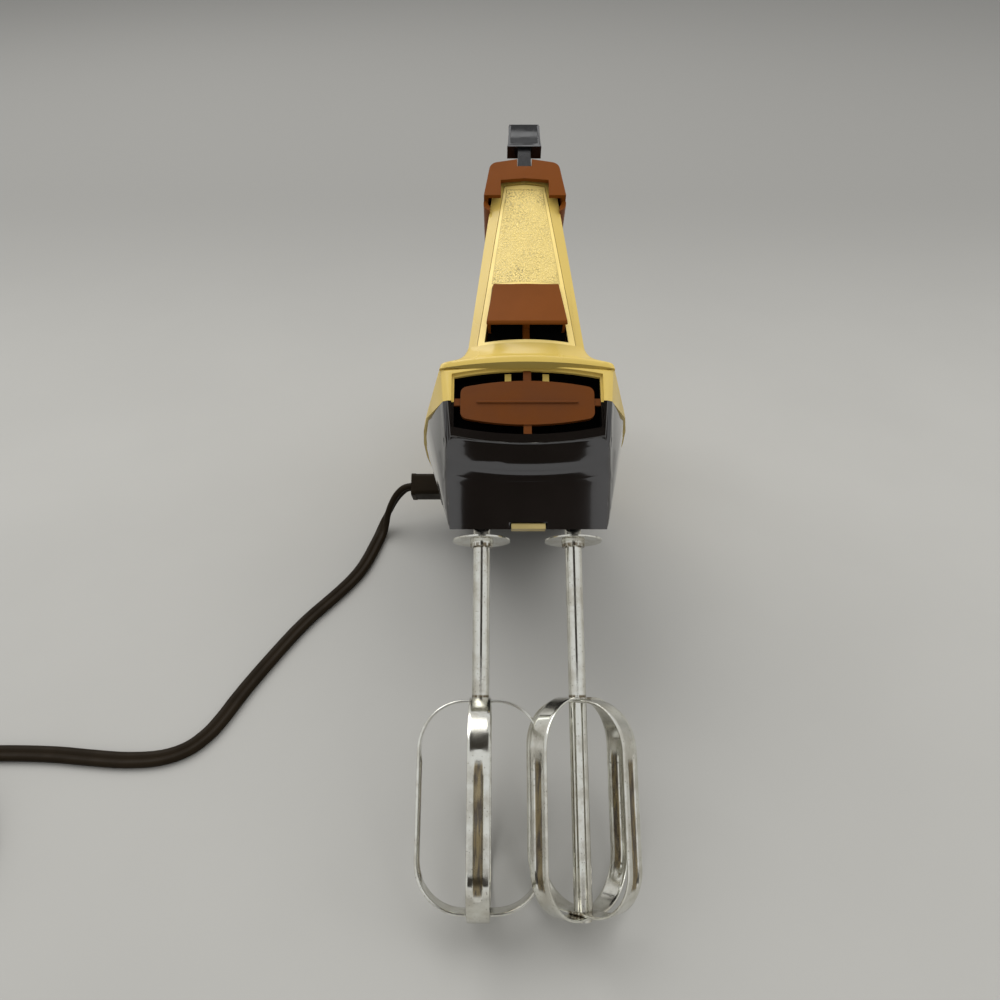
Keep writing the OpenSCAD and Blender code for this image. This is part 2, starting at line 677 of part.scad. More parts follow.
// A nylon gear on a tubular spindle; the beater's lug drives in the slot at its foot
module beater_gear(side, first) color(nylon) laid_down() translate([side * beater_gap / 2, 0, 0]) difference() {
    union() {
        slanted_teeth(side, first);
        rod_z(0, 0, hub_foot, hub_top, hub_r);
    }
    rod_z(0, 0, hub_foot - 1, hub_top + 1, shaft_d / 2 + running);
    block(-hub_r - 1, hub_r + 1, -1.2, 1.2, hub_foot - 1, hub_foot + socket_slot);
    for (s = [-1, 1]) translate([0, 0, motor_z + s * gear_t / 2]) difference() {
        cylinder(h = 3, r = gear_pitch_r - 3, center = true);
        cylinder(h = 4, r = hub_r + 1.6, center = true);
    }
}
module gear_left() beater_gear(-1, 0);
module gear_right() beater_gear(1, 180 / gear_teeth);

module gear_frame() color(cast) laid_down() difference() {
    union() {
        block(-gear_frame_half, gear_frame_half, -8, frame_back_y, frame_z, deck_z);
        // the tongue that shows in the chin's notch
        block(-tongue_half, tongue_half, chin_y + 0.4, chin_y + 4.8, base_z + 0.4, base_z + 2.4);
        block(-tongue_half, tongue_half, chin_y + 2.8, chin_y + 4.8, base_z + 0.4, frame_z + 1);
        block(-gear_frame_half, gear_frame_half, frame_back_y - 3, frame_back_y, frame_z, roof_z + roof_t);
        block(-gear_frame_half + 2, gear_frame_half - 2, -hub_r - 1.2, frame_back_y, roof_z, roof_z + roof_t);
        leaned() rod_y(frame_back_y - 4, frame_back_y + 4, 8);
    }
    for (s = [-1, 1]) {
        rod_z(s * beater_gap / 2, 0, frame_z - 1, deck_z + 1, bush_r);
        rod_z(s * beater_gap / 2, 0, roof_z - 1, roof_z + roof_t + 1, hub_r + running);
    }
    leaned() {
        rod_y(frame_back_y - 10, frame_back_y + 10, bearing_r);
        rod_y(frame_back_y - 12, frame_back_y - 3, worm_pitch_r + tooth_h + air);
    }
}
module spindle_bushes() color(bronze) laid_down() for (s = [-1, 1]) difference() {
    rod_z(s * beater_gap / 2, 0, frame_z, deck_z, bush_r);
    rod_z(s * beater_gap / 2, 0, frame_z - 1, deck_z + 1, hub_r + running);
}

// ---- Motor

fan_y = frame_back_y + 5;
fan_t = 9;
fan_hub_r = 6;
winding_l = 7.5;
stack_y = fan_y + fan_t + winding_l + 2;
commutator_y = stack_y + stack_l + winding_l;
commutator_l = 9;
commutator_r = 9;
bracket_y = commutator_y + commutator_l + 1.5;
bracket_h = 34;
shaft_end_y = bracket_y + 8;
worm_y0 = -worm_half;
worm_y1 = worm_half;
bearing_r = 5.6;

module bearing(y0, y1) difference() {
    rod_y(y0, y1, bearing_r);
    rod_y(y0 - 1, y1 + 1, motor_shaft_d / 2 + running);
}
module front_bearing() color(bronze) laid_down() leaned() bearing(frame_back_y - 3, frame_back_y + 4);
module rear_bearing() color(bronze) laid_down() leaned() bearing(bracket_y, bracket_y + 7);
module rear_bracket() color(cast) laid_down() leaned() difference() {
    union() {
        translate([0, 0, motor_z]) along_y(bracket_y, bracket_y + 2.6) round_rect(43, bracket_h, 6);
        rod_y(bracket_y, bracket_y + 7, 9);
        both_sides() block(holder_x, holder_x + holder_l, commutator_mid - 4, bracket_y + 1, motor_z - 8, motor_z - 4);
    }
    rod_y(bracket_y - 1, bracket_y + 8, bearing_r);
    for (a = [45:90:360]) translate([0, 0, motor_z]) rotate([0, a, 0]) translate([14, 0, -motor_z])
        rod_y(bracket_y - 1, bracket_y + 4, 3);
}

module motor_shaft() color(steel) laid_down() leaned() {
    rod_y(worm_y0 - 2, worm_y0, motor_shaft_d / 2);
    rod_y(worm_y1, shaft_end_y, motor_shaft_d / 2);
    worm_turns = (worm_y1 - worm_y0) / pitch;
    // one thread, its crest facing +X at y = 0
    translate([0, worm_y0, motor_z]) rotate([-90, 0, 0])
        linear_extrude(worm_y1 - worm_y0, twist = 360 * worm_turns, slices = ceil(worm_turns * 9))
            rotate(-360 * worm_y0 / pitch) polygon(thread_outline);
}
thread_t = 1.1;   // thickness of the thread at the pitch line
thread_outline = let (
        root = worm_pitch_r - tooth_h - 0.35, tip = worm_pitch_r + tooth_h - 0.1,
        crest = 180 * (thread_t - 0.5) / pitch, foot = 180 * (thread_t + 0.6) / pitch)
    concat([for (a = [-crest, 0, crest]) [tip * cos(a), tip * sin(a)]],
        [for (a = [foot:(360 - 2 * foot) / 8:360 - foot + eps]) [root * cos(a), root * sin(a)]]);

module stator_core() color(steel) laid_down() leaned() difference() {
    translate([0, 0, motor_z]) along_y(stack_y, stack_y + stack_l) round_rect(stator_w, stator_h, 14);
    rod_y(stack_y - 1, stack_y + stack_l + 1, armature_d / 2 + air);
    // the two winding windows, left and right of the bore
    both_sides() block(armature_d / 2 - 4, armature_d / 2 + 6, stack_y - 1, stack_y + stack_l + 1,
        motor_z - 8, motor_z + 8);
}
module field_coils() color(copper) laid_down() leaned() for (s = [-1, 1]) difference() {
    rod_y(s < 0 ? stack_y - 5 : stack_y + stack_l, s < 0 ? stack_y : stack_y + stack_l + 5, armature_d / 2 + 4);
    rod_y(stack_y - 6, stack_y + stack_l + 6, armature_d / 2 + 1);
    block(-deep, deep, 0, deep, motor_z - 2, motor_z + 2);
}
module armature_core() color(steel) laid_down() leaned() difference() {
    rod_y(stack_y, stack_y + stack_l, armature_d / 2);
    rod_y(stack_y - 1, stack_y + stack_l + 1, motor_shaft_d / 2);
    for (i = [0:slots - 1]) translate([0, 0, motor_z]) rotate([0, i * 360 / slots, 0])
        block(armature_d / 2 - 6, armature_d / 2 + 1, stack_y - 1, stack_y + stack_l + 1, -1.2, 1.2);
}
module armature_windings() color(copper) laid_down() leaned() {
    for (y = [stack_y - winding_l, stack_y + stack_l]) difference() {
        rod_y(y, y + winding_l, armature_d / 2 - 3);
        rod_y(y - 1, y + winding_l + 1, motor_shaft_d / 2);
    }
}
module commutator() color(copper) laid_down() leaned() difference() {
    rod_y(commutator_y, commutator_y + commutator_l, commutator_r);
    rod_y(commutator_y - 1, commutator_y + commutator_l + 1, motor_shaft_d / 2);
    for (i = [0:2 * slots - 1]) translate([0, 0, motor_z]) rotate([0, i * 180 / slots, 0])
        block(commutator_r - 1, commutator_r + 1, commutator_y - 1, commutator_y + commutator_l + 1, -0.3, 0.3);
}
module cooling_fan() color(nylon) laid_down() leaned() difference() {
    union() {
        rod_y(fan_y, fan_y + fan_t, fan_hub_r);
        rod_y(fan_y + fan_t - 1.6, fan_y + fan_t, fan_d / 2);
        // straight blades, swept back from the hub
        for (i = [0:blades - 1]) translate([0, fan_y, motor_z]) rotate([0, i * 360 / blades, 0])
            translate([fan_hub_r - 1.5, 0, 0]) rotate([0, 24, 0])
                block(0, fan_d / 2 - fan_hub_r - 1, 0.4, fan_t - 0.8, -0.7, 0.7);
    }
    rod_y(fan_y - 1, fan_y + fan_t + 1, motor_shaft_d / 2);
}

holder_x = 12;
holder_l = 8.5;
commutator_mid = commutator_y + commutator_l / 2;
module brush_holders() color(bronze) laid_down() leaned() both_sides() difference() {
    block(holder_x, holder_x + holder_l, commutator_mid - 4, commutator_mid + 4, motor_z - 4, motor_z + 4);
    block(holder_x - 1, holder_x + holder_l - 1.5, commutator_mid - 3, commutator_mid + 3, motor_z - 3, motor_z + 3);
}
module carbon_brushes() color(carbon) laid_down() leaned() both_sides()
    block(commutator_r + 0.3, commutator_r + 9, commutator_mid - 2.95, commutator_mid + 2.95,
        motor_z - 2.95, motor_z + 2.95);

// ---- Beaters

shaft_top = hub_top + 0.6;
loop_top = -tip_drop + loop_h;
rivet_r = 1.7;
rib_t = 0.3;      // the strip's raised middle rib
module ring_shape(w, h, r, t) difference() {
    round_rect(w, h, r);
    round_rect(w - 2 * t, h - 2 * t, r - t);
}
// A strip bent into a rounded loop, ribbed along its middle inside
module loop(nest, hole_top_r) difference() {
    translate([0, 0, -tip_drop + loop_h / 2]) {
        along_y(-strip_w / 2, strip_w / 2)
            ring_shape(loop_w, loop_h - 2 * nest, loop_r - nest, strip_t);
        intersection() {
            along_y(-0.9, 0.9) ring_shape(loop_w - 2 * strip_t + eps, loop_h - 2 * nest - 2 * strip_t + eps,
                loop_r - nest - strip_t, rib_t);
            both_sides() block(loop_w / 4, loop_w, -1, 1, -loop_h, loop_h);
        }
    }
    rod_z(0, 0, loop_top - 5, loop_top + 5, hole_top_r);
    rod_z(0, 0, -tip_drop - 5, -tip_drop + 5, rivet_r);
}
module at_beater(side) laid_down() translate([side * beater_gap / 2, 0, 0]) children();
loop_turn = [90, 45];     // left and right beaters stand an eighth of a turn apart
module beater_shaft(side) color(chrome) at_beater(side) {
    rod_z(0, 0, -tip_drop + 2 * strip_t, shaft_top - 0.8, shaft_d / 2);
    translate([0, 0, shaft_top - 0.8]) cylinder(h = 0.8, r1 = shaft_d / 2, r2 = shaft_d / 2 - 0.8);
    rod_z(0, 0, -tip_drop - 1.2, -tip_drop + 2 * strip_t, rivet_r);
    rod_z(0, 0, -tip_drop - 1.2, -tip_drop, rivet_r + 1.3);
    block(-hub_r + 0.3, hub_r - 0.3, -1, 1, hub_foot - 2, hub_foot + socket_slot - 0.6);
}
module beater_disc(side) color(chrome) at_beater(side) difference() {
    rotate_extrude() polygon([[0, 0.1], [disc_d / 2 - 2, -0.6], [disc_d / 2, -0.4], [disc_d / 2, -1.2],
        [disc_d / 2 - 2, -1.4], [shaft_d / 2 + 1.4, -0.9], [shaft_d / 2 + 1.2, -3.4], [0, -3.4]]);
    rod_z(0, 0, -5, 2, shaft_d / 2);
}
module beater_loop(side, nest) color(chrome) at_beater(side)
    rotate([0, 0, loop_turn[side < 0 ? 0 : 1] + (nest > 0 ? 90 : 0)]) loop(nest, shaft_d / 2);
module beater_left_shaft() beater_shaft(-1);
module beater_left_disc() beater_disc(-1);
module beater_left_loop_outer() beater_loop(-1, 0);
module beater_left_loop_inner() beater_loop(-1, strip_t);
module beater_right_shaft() beater_shaft(1);
module beater_right_disc() beater_disc(1);
module beater_right_loop_outer() beater_loop(1, 0);
module beater_right_loop_inner() beater_loop(1, strip_t);

// ---- Ejector

finger_foot = shaft_top + 0.4;
yoke_z = hub_top + ejector_travel + 0.4;
yoke_t = 4;
flange_z = 92;
module ejector_yoke() color(steel) laid_down() {
    difference() {
        block(-beater_gap / 2 - 3, beater_gap / 2 + 3, -3.5, 3.5, yoke_z, yoke_z + yoke_t);
        rod_z(0, 0, yoke_z - 1, yoke_z + yoke_t + 1, rod_r);
    }
    for (s = [-1, 1]) rod_z(s * beater_gap / 2, 0, finger_foot, yoke_z, shaft_d / 2 - 0.7);
}
module ejector_rod() color(steel) laid_down() {
    rod_z(0, 0, yoke_z, flange_z, rod_r);
    rod_z(0, 0, flange_z, flange_z + 2, 5.2);
}
// The legs run down behind the post's wall
leg_y = wall + 0.3;
cheek_y = wall + 2.6;      // the face is round, so the cheeks sit deeper than the rib
leg_back_y = cheek_y + 1.4;
leg_h = 5.4;
lip_h = 2.4;      // how far the hood's lip hangs below its cheeks
// A sloping hood, open below, on two cheeks and a middle rib, with a boss that sits on the rod
module ejector_button() color(tan_brown) laid_down() {
    on_post() intersection() {
        along_y(-10, 8) polygon(ejector_outline(0, ejector_foot - leg_h - 0.6));
        difference() {
            along_x(-deep, deep) polygon([
                [0.2, ejector_head], [-0.6, ejector_head], [-ejector_proud, ejector_foot - lip_h + 1],
                [-ejector_proud + 0.6, ejector_foot - lip_h], [-ejector_proud + 1.6, ejector_foot - lip_h],
                [-ejector_proud + 1.6, ejector_foot], [leg_y, ejector_foot], [leg_y, ejector_foot - leg_h],
                [leg_back_y, ejector_foot - leg_h], [leg_back_y, ejector_head]]);
            for (s = [-1, 1]) along_x(s > 0 ? 1.4 : -deep, s > 0 ? deep : -1.4) polygon([
                [cheek_y, ejector_head - 1.4], [0.8, ejector_head - 1.4], [-ejector_proud + 1.6, ejector_foot + 0.6],
                [-ejector_proud + 1.6, ejector_foot - 10], [cheek_y, ejector_foot - 10]]);
        }
    }
    on_post() both_sides() intersection() {
        along_y(-10, 8) difference() {
            polygon(ejector_outline(0, ejector_foot - leg_h));
            polygon(ejector_outline(-1.4, ejector_foot - leg_h - 1));
        }
        along_x(0, deep) polygon([
            [leg_back_y, ejector_head - 1], [0.4, ejector_head - 1], [-ejector_proud + 1, ejector_foot + 0.6],
            [-ejector_proud + 1, ejector_foot], [cheek_y, ejector_foot],
            [cheek_y, ejector_foot - leg_h], [leg_back_y, ejector_foot - leg_h]]);
    }
    difference() {
        block(-4.4, 4.4, post_y + 4, 5, flange_z + 2, flange_z + 8);
        on_post() block(-deep, deep, -deep, cheek_y + eps, -deep, deep);
    }
}
// A coil of round wire between the post's shelf and the rod's flange
spring_r = 3.9;
wire_r = 0.5;
spring_turns = 6;
module ejector_spring() color(steel) laid_down() {
    steps = 14 * spring_turns;
    sides = 6;
    z0 = shelf_z + wire_r + 0.1;
    rise = flange_z - shelf_z - 2 * wire_r - 0.2;
    points = [for (i = [0:steps], k = [0:sides - 1]) let (
            a = 360 * spring_turns * i / steps, b = 360 * k / sides, r = spring_r + wire_r * cos(b))
        [r * cos(a), r * sin(a), z0 + rise * i / steps + wire_r * sin(b)]];
    polyhedron(points, tube_faces(steps + 1, sides), convexity = 8);
}
// Faces of a tube whose points come ring by ring
function tube_faces(rings, sides) = concat(
    [[for (k = [0:sides - 1]) k]],
    [for (i = [0:rings - 2], k = [0:sides - 1]) let (n = (k + 1) % sides)
        [i * sides + k, (i + 1) * sides + k, (i + 1) * sides + n, i * sides + n]],
    [[for (k = [sides - 1:-1:0]) (rings - 1) * sides + k]]);

// ---- Speed lever

knob_z = grip_z + 4;
knob_t = 6.5;
pin_l = 24;
switch_z = lever_z - 12;
wiper_r = 5.4;
// The stem's back, measured from where it passes the slot
function stem_back(z) = 3.03 - z * 0.108;
module speed_lever() color(black) laid_down() difference() {
    union() {
        along_x(-stem_w / 2, stem_w / 2) {
            translate([stem_y, knob_z]) polygon([[-1.8, 4], [-1.8, -11],
                [lever_y - 3 - stem_y, lever_z - 2 - knob_z], [lever_y + 3 - stem_y, lever_z + 2 - knob_z],
                [stem_back(-9), -9], [stem_back(4), 4]]);
            translate([lever_y, lever_z]) circle(lever_r);
        }
        // the wiper that sweeps the switch's studs
        block(-1.2, 1.2, lever_y - 1, lever_y + 1, lever_z - wiper_r, lever_z);
    }
    translate([0, lever_y, lever_z]) rotate([0, 90, 0]) cylinder(h = 20, r = pin_r + running, center = true);
}
// A tapered paddle with a dished face
module lever_knob() color(black) laid_down() translate([0, stem_y, knob_z]) rotate([-8, 0, 0]) difference() {
    intersection() {
        along_y(-knob_t / 2 - 1, knob_t / 2 + 1) polygon([
            [-knob_w / 2, 0], [knob_w / 2, 0], [knob_w / 2 - 0.3, 2], [knob_w / 2 - 1, knob_h - 1],
            [knob_w / 2 - 2, knob_h], [-knob_w / 2 + 2, knob_h], [-knob_w / 2 + 1, knob_h - 1], [-knob_w / 2 + 0.3, 2]]);
        along_x(-knob_w, knob_w) polygon([
            [-knob_t / 2, 0], [knob_t / 2, 0], [knob_t / 2 + 0.4, knob_h - 2], [knob_t / 2 - 1, knob_h],
            [-knob_t / 2 + 0.6, knob_h], [-knob_t / 2, knob_h - 1]]);
    }
    translate([0, -knob_t / 2 - 23.2, knob_h / 2 + 0.6]) rotate([0, 90, 0]) cylinder(h = knob_w - 3, r = 24, center = true);
    rotate([8, 0, 0]) along_x(-stem_w / 2, stem_w / 2) polygon([[-1.8, -1], [-1.8, 4], [stem_back(4), 4], [stem_back(-1), -1]]);
}
module lever_pin() color(steel) laid_down() lever_bore();
// A contact board with five studs that the lever's wiper sweeps over
module speed_switch() color(carbon) laid_down() {
    difference() {
        block(-7, 7, lever_y - 8, lever_y + 8, switch_z, lever_z - 2.2);
        translate([0, lever_y, lever_z]) rotate([0, 90, 0]) cylinder(h = 20, r = wiper_r + 0.4, center = true);
    }
    for (a = [-40:20:40]) translate([0, lever_y, lever_z]) rotate([a, 0, 0])
        translate([0, 0, -wiper_r - 0.7]) rotate([0, 90, 0]) cylinder(h = 8, r = 0.5, center = true);
}

// ---- Cord

connector_x = -inlet_out - inlet_face + inlet_hole_d;
connector_end = -56.4;
shoulder_x = -58.8;
module cord_connector() color(olive) laid_down() translate([connector_x, inlet_y, inlet_z]) rotate([90, 0, -90]) {
    difference() {
        linear_extrude(connector_x - connector_end) round_rect(connector_l, connector_h, 2);
        for (s = [-1, 1]) translate([s * pin_gap / 2, 0, -1]) cylinder(h = 9, r = pin_bore_r + 0.1, $fn = 24);
    }
}
module cord_strain_relief() color(olive) laid_down()
    translate([connector_end, inlet_y, inlet_z]) rotate([90, 0, -90])
        linear_extrude(connector_end - shoulder_x) round_rect(connector_l - 1, connector_h + 0.8, 2);

// The cord's route on the table: x, y, height and roll, chosen by hand
cord_route = [
    [-58.8, 51.2, 27.2, 57], [-63, 50.8, 26.2, 57], [-67, 50, 22.4, 55], [-70.3, 48.8, 17.4, 50],
    [-73, 47.2, 12, 45], [-75, 45.2, 7.4, 32], [-76.5, 42.4, 4.2, 18], [-77.8, 38, 2.3, 6],
    [-79.4, 32, 1.8, 0], [-81.6, 23, 1.8, 0], [-84.5, 14, 1.8, 0], [-88.4, 6, 1.8, 0], [-93.5, -2, 1.8, 0],
    [-99.2, -10, 1.8, 0], [-105, -18, 1.8, 0], [-110, -26, 1.8, 0], [-114.4, -34, 1.8, 0],
    [-118.5, -42, 1.8, 0], [-122.5, -50, 1.8, 0], [-126.3, -58, 1.8, 0], [-129.8, -66, 1.8, 0],
    [-133, -74, 1.8, 0], [-137.2, -82, 1.8, 0], [-144, -89, 1.8, 0], [-154, -93, 1.8, 0],
    [-168, -94, 1.8, 0], [-183, -93, 1.8, 0], [-198, -91.6, 1.8, 0], [-213, -91, 1.8, 0],
    [-228, -91, 1.8, 0], [-242, -91.6, 1.8, 0], [-254, -92, 1.8, 0]];
coil_at = [-254, -144.5];

module cord_run() color(olive) polyhedron(cord_points, tube_faces(len(cord_route), 8), convexity = 6);
cord_points = [for (i = [0:len(cord_route) - 1]) let (
        p = cord_route[i], last = len(cord_route) - 1,
        a = cord_route[max(i - 1, 0)], b = cord_route[min(i + 1, last)],
        t = i == 0 ? [-1, 0, 0] : unit([b[0] - a[0], b[1] - a[1], b[2] - a[2]]),
        flat = unit(cross([0, 0, 1], t)), up = cross(t, flat))
    each [for (k = [0:7]) let (
            c = 360 * (k + 0.5) / 8, u = cord_w / 2 * sign(cos(c)) * pow(abs(cos(c)), 0.6),
            v = cord_t / 2 * sign(sin(c)) * pow(abs(sin(c)), 0.6),
            uu = u * cos(p[3]) - v * sin(p[3]), vv = u * sin(p[3]) + v * cos(p[3]))
        [p[0] + uu * flat[0] + vv * up[0], p[1] + uu * flat[1] + vv * up[1], p[2] + uu * flat[2] + vv * up[2]]]];
function unit(v) = v / norm(v);
coil_turns = 3;
coil_layers = 2;
module cord_coil() color(olive) translate([coil_at[0], coil_at[1], 0]) rotate_extrude()
    translate([coil_r - coil_turns * cord_w / 2, 0]) square([coil_turns * cord_w, coil_layers * cord_t + 0.3]);

// The two-blade plug lies along the coil's turns
plug_at = [coil_at[0] - 15, coil_at[1] - coil_r, coil_layers * cord_t + 0.3];
module plug_body() color(olive) translate(plug_at) {
    difference() {
        translate([0, 0, 6]) rotate([0, 90, 0]) linear_extrude(24) round_rect(12, 20, 4);
        for (s = [-1, 1]) block(15, 30, s * 6.35 - 0.75, s * 6.35 + 0.75, 6 - 3.2, 6 + 3.2);
    }
    translate([-10, 0, 6]) rotate([0, 90, 0]) linear_extrude(10) round_rect(7, 10, 2.5);
}
module plug_blades() color(bronze) translate(plug_at)
    for (s = [-1, 1]) block(15, 40, s * 6.35 - 0.75, s * 6.35 + 0.75, 6 - 3.2, 6 + 3.2);

upper_shell();
lower_shell();
housing_screws();
grille_badge();
handle_panel();
grip_left();
grip_right();
grip_screws();
inlet_socket();
inlet_pins();
gear_frame();
spindle_bushes();
front_bearing();
rear_bracket();
rear_bearing();
stator_core();
field_coils();
brush_holders();
carbon_brushes();
motor_shaft();
armature_core();
armature_windings();
commutator();
cooling_fan();
gear_left();
gear_right();
beater_left_shaft();
beater_left_disc();
beater_left_loop_outer();
beater_left_loop_inner();
beater_right_shaft();
beater_right_disc();
beater_right_loop_outer();
beater_right_loop_inner();
ejector_button();
ejector_rod();
ejector_yoke();
ejector_spring();
speed_lever();
lever_knob();
lever_pin();
speed_switch();
cord_connector();
cord_strain_relief();
cord_run();
cord_coil();
plug_body();
plug_blades();
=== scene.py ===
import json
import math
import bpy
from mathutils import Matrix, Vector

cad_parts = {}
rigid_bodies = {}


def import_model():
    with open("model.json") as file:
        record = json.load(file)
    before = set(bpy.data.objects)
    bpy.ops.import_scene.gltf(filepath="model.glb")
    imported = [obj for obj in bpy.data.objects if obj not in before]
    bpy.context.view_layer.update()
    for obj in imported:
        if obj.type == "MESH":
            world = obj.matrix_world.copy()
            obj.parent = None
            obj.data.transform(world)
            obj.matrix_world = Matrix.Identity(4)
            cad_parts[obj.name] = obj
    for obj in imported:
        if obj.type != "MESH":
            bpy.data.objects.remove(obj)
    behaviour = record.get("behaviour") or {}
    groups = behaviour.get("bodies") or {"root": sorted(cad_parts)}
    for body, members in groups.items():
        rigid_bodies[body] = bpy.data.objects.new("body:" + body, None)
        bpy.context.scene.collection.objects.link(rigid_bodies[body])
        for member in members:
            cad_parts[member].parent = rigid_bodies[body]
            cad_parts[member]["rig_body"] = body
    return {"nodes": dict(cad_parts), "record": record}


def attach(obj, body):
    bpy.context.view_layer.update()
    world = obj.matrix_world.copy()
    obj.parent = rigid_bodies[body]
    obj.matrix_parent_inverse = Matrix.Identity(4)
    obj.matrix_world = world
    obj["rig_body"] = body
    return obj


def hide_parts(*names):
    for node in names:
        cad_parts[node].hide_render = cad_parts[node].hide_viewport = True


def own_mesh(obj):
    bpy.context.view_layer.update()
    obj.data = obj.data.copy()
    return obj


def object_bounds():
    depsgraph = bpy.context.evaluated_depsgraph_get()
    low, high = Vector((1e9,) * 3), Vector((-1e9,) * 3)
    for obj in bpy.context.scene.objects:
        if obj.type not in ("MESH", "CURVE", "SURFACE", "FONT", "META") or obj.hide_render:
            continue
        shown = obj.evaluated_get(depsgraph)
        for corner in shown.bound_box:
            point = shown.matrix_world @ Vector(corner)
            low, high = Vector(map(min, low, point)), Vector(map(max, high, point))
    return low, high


bl_info = {
    "name": "Two-beater hand mixer",
    "version": (1, 0, 0),
    "blender": (4, 5, 0),
    "location": "3D View > Sidebar > Mixer",
    "description": "Dresses the packed hand mixer: mouldings, chrome beaters, flat cord and stage",
    "category": "Add Mesh",
}

import bmesh
import bpy
from mathutils import Matrix, Vector
from mathutils.bvhtree import BVHTree

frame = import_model()
cad_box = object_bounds()
NODES = frame["nodes"]
SLOTS = {part["node"]: part["material_slot"] for part in frame["record"]["subparts"]}

MM = 0.001

# The mixer's own upright frame, laid on its heel and its beaters: how far it leans, and where its
# origin, midway between the splash discs, comes to lie.
TILT = math.radians(57.5273)
ORIGIN = Vector((0, -44.1169, 83.7506)) * MM
UPRIGHT = Matrix.Rotation(-TILT, 3, "X")
LAID = Matrix.Translation(ORIGIN) @ UPRIGHT.to_4x4() @ Matrix.Scale(MM, 4)

# Sizes of the upright mixer, in millimetres
STEM_X = 18.0  # from the middle to each beater's stem
NOSE_Y = -16.0  # the nose's front face
WALL = 2.4  # thickness of the housings
BASE_RISE = math.tan(math.radians(12.8))  # of the underside, towards the heel


# ---- Settings

def tint(name, description, default):
    """A colour setting."""
    return bpy.props.FloatVectorProperty(name=name, description=description, subtype="COLOR",
                                         default=default, min=0, max=1)


class MixerColours(bpy.types.PropertyGroup):
    gold: tint("Gold", "Gold plastic of the upper housing", (0.62, 0.45, 0.108))
    panel: tint("Handle panel", "Grained gold plastic of the handle's panel", (0.90, 0.69, 0.225))
    brown: bpy.props.FloatVectorProperty(
        name="Brown", description="Brown plastic of the grip, the ejector and the badge plate",
        subtype="COLOR", default=(0.162, 0.046, 0.006), min=0, max=1)
    dark: tint("Dark shell", "Glossy plastic of the lower housing", (0.0048, 0.0034, 0.0028))
    cord: tint("Cord", "Vinyl of the flat cord and its plugs", (0.0145, 0.0095, 0.0045))
    floor: tint("Floor", "Paper that the mixer lies on", (0.375, 0.368, 0.345))


class MixerSizes(bpy.types.PropertyGroup):
    moulding_edge: bpy.props.FloatProperty(
        name="Moulding edge", description="Rounding of the housings' edges", unit="LENGTH",
        default=0.55 * MM, min=0.1 * MM, max=1.5 * MM, precision=5)
    cord_width: bpy.props.FloatProperty(
        name="Cord width", description="Width of the flat cord", unit="LENGTH",
        default=7 * MM, min=0.005, max=0.01)
    cord_thickness: bpy.props.FloatProperty(
        name="Cord thickness", description="Thickness of the flat cord", unit="LENGTH",
        default=3.5 * MM, min=0.002, max=0.005)
    cord_length: bpy.props.FloatProperty(
        name="Cord length", description="Length of the cord from connector to plug", unit="LENGTH",
        default=1.87, min=0.5, max=3)
    lens: bpy.props.FloatProperty(
        name="Lens", description="Focal length on a 36 mm sensor, in millimetres", unit="CAMERA",
        default=25.2, min=15, max=100)
    camera_pitch: bpy.props.FloatProperty(
        name="Camera pitch", description="How far the camera looks up from straight down", subtype="ANGLE",
        default=math.radians(47.5), min=0, max=math.pi)
    camera_place: bpy.props.FloatVectorProperty(
        name="Camera place", description="Where the camera stands", subtype="TRANSLATION",
        default=(-0.0108, -0.23727, 0.2816))


# ---- Meshes

SHARP = math.radians(32)  # edges sharper than this are rounded, and stay creased
SOFT = math.radians(40)  # the same for pieces made here
FLAT = math.radians(0.6)  # triangles that lie this near to level are one face
SAME = 2e-6  # points nearer than this are one, in metres


def ease(t):
    """Goes from 0 to 1 as t does, slowly at both ends."""
    t = min(1, max(0, t))
    return t * t * (3 - 2 * t)


def lay_down(bm):
    """Takes a bmesh from the upright mixer's millimetres to its place on the table."""
    bmesh.ops.transform(bm, matrix=LAID, verts=bm.verts)


def stand_up(bm):
    """Takes a bmesh from its place on the table to the upright mixer's millimetres."""
    bmesh.ops.transform(bm, matrix=LAID.inverted(), verts=bm.verts)


def linked(name, bm, material):
    """Turns a bmesh into an object of the scene."""
    mesh = bpy.data.meshes.new(name)
    bm.to_mesh(mesh)
    bm.free()
    mesh.materials.append(material)
    made = bpy.data.objects.new(name, mesh)
    bpy.context.scene.collection.objects.link(made)
    return made


def new_piece(name, bm, body, slot, finish=None, replaced=()):
    """Makes a piece from a bmesh, rides it on a body and has it stand for CAD nodes."""
    piece = linked(name, bm, FINISHES[finish or slot])
    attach(piece, body)
    if replaced:
        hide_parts(*replaced)
    return piece


def smooth(bm, angle):
    """Shades a bmesh smooth, apart from edges sharper than angle."""
    for face in bm.faces:
        face.smooth = True
    for edge in bm.edges:
        edge.smooth = not edge.is_manifold or edge.calc_face_angle(0) < angle


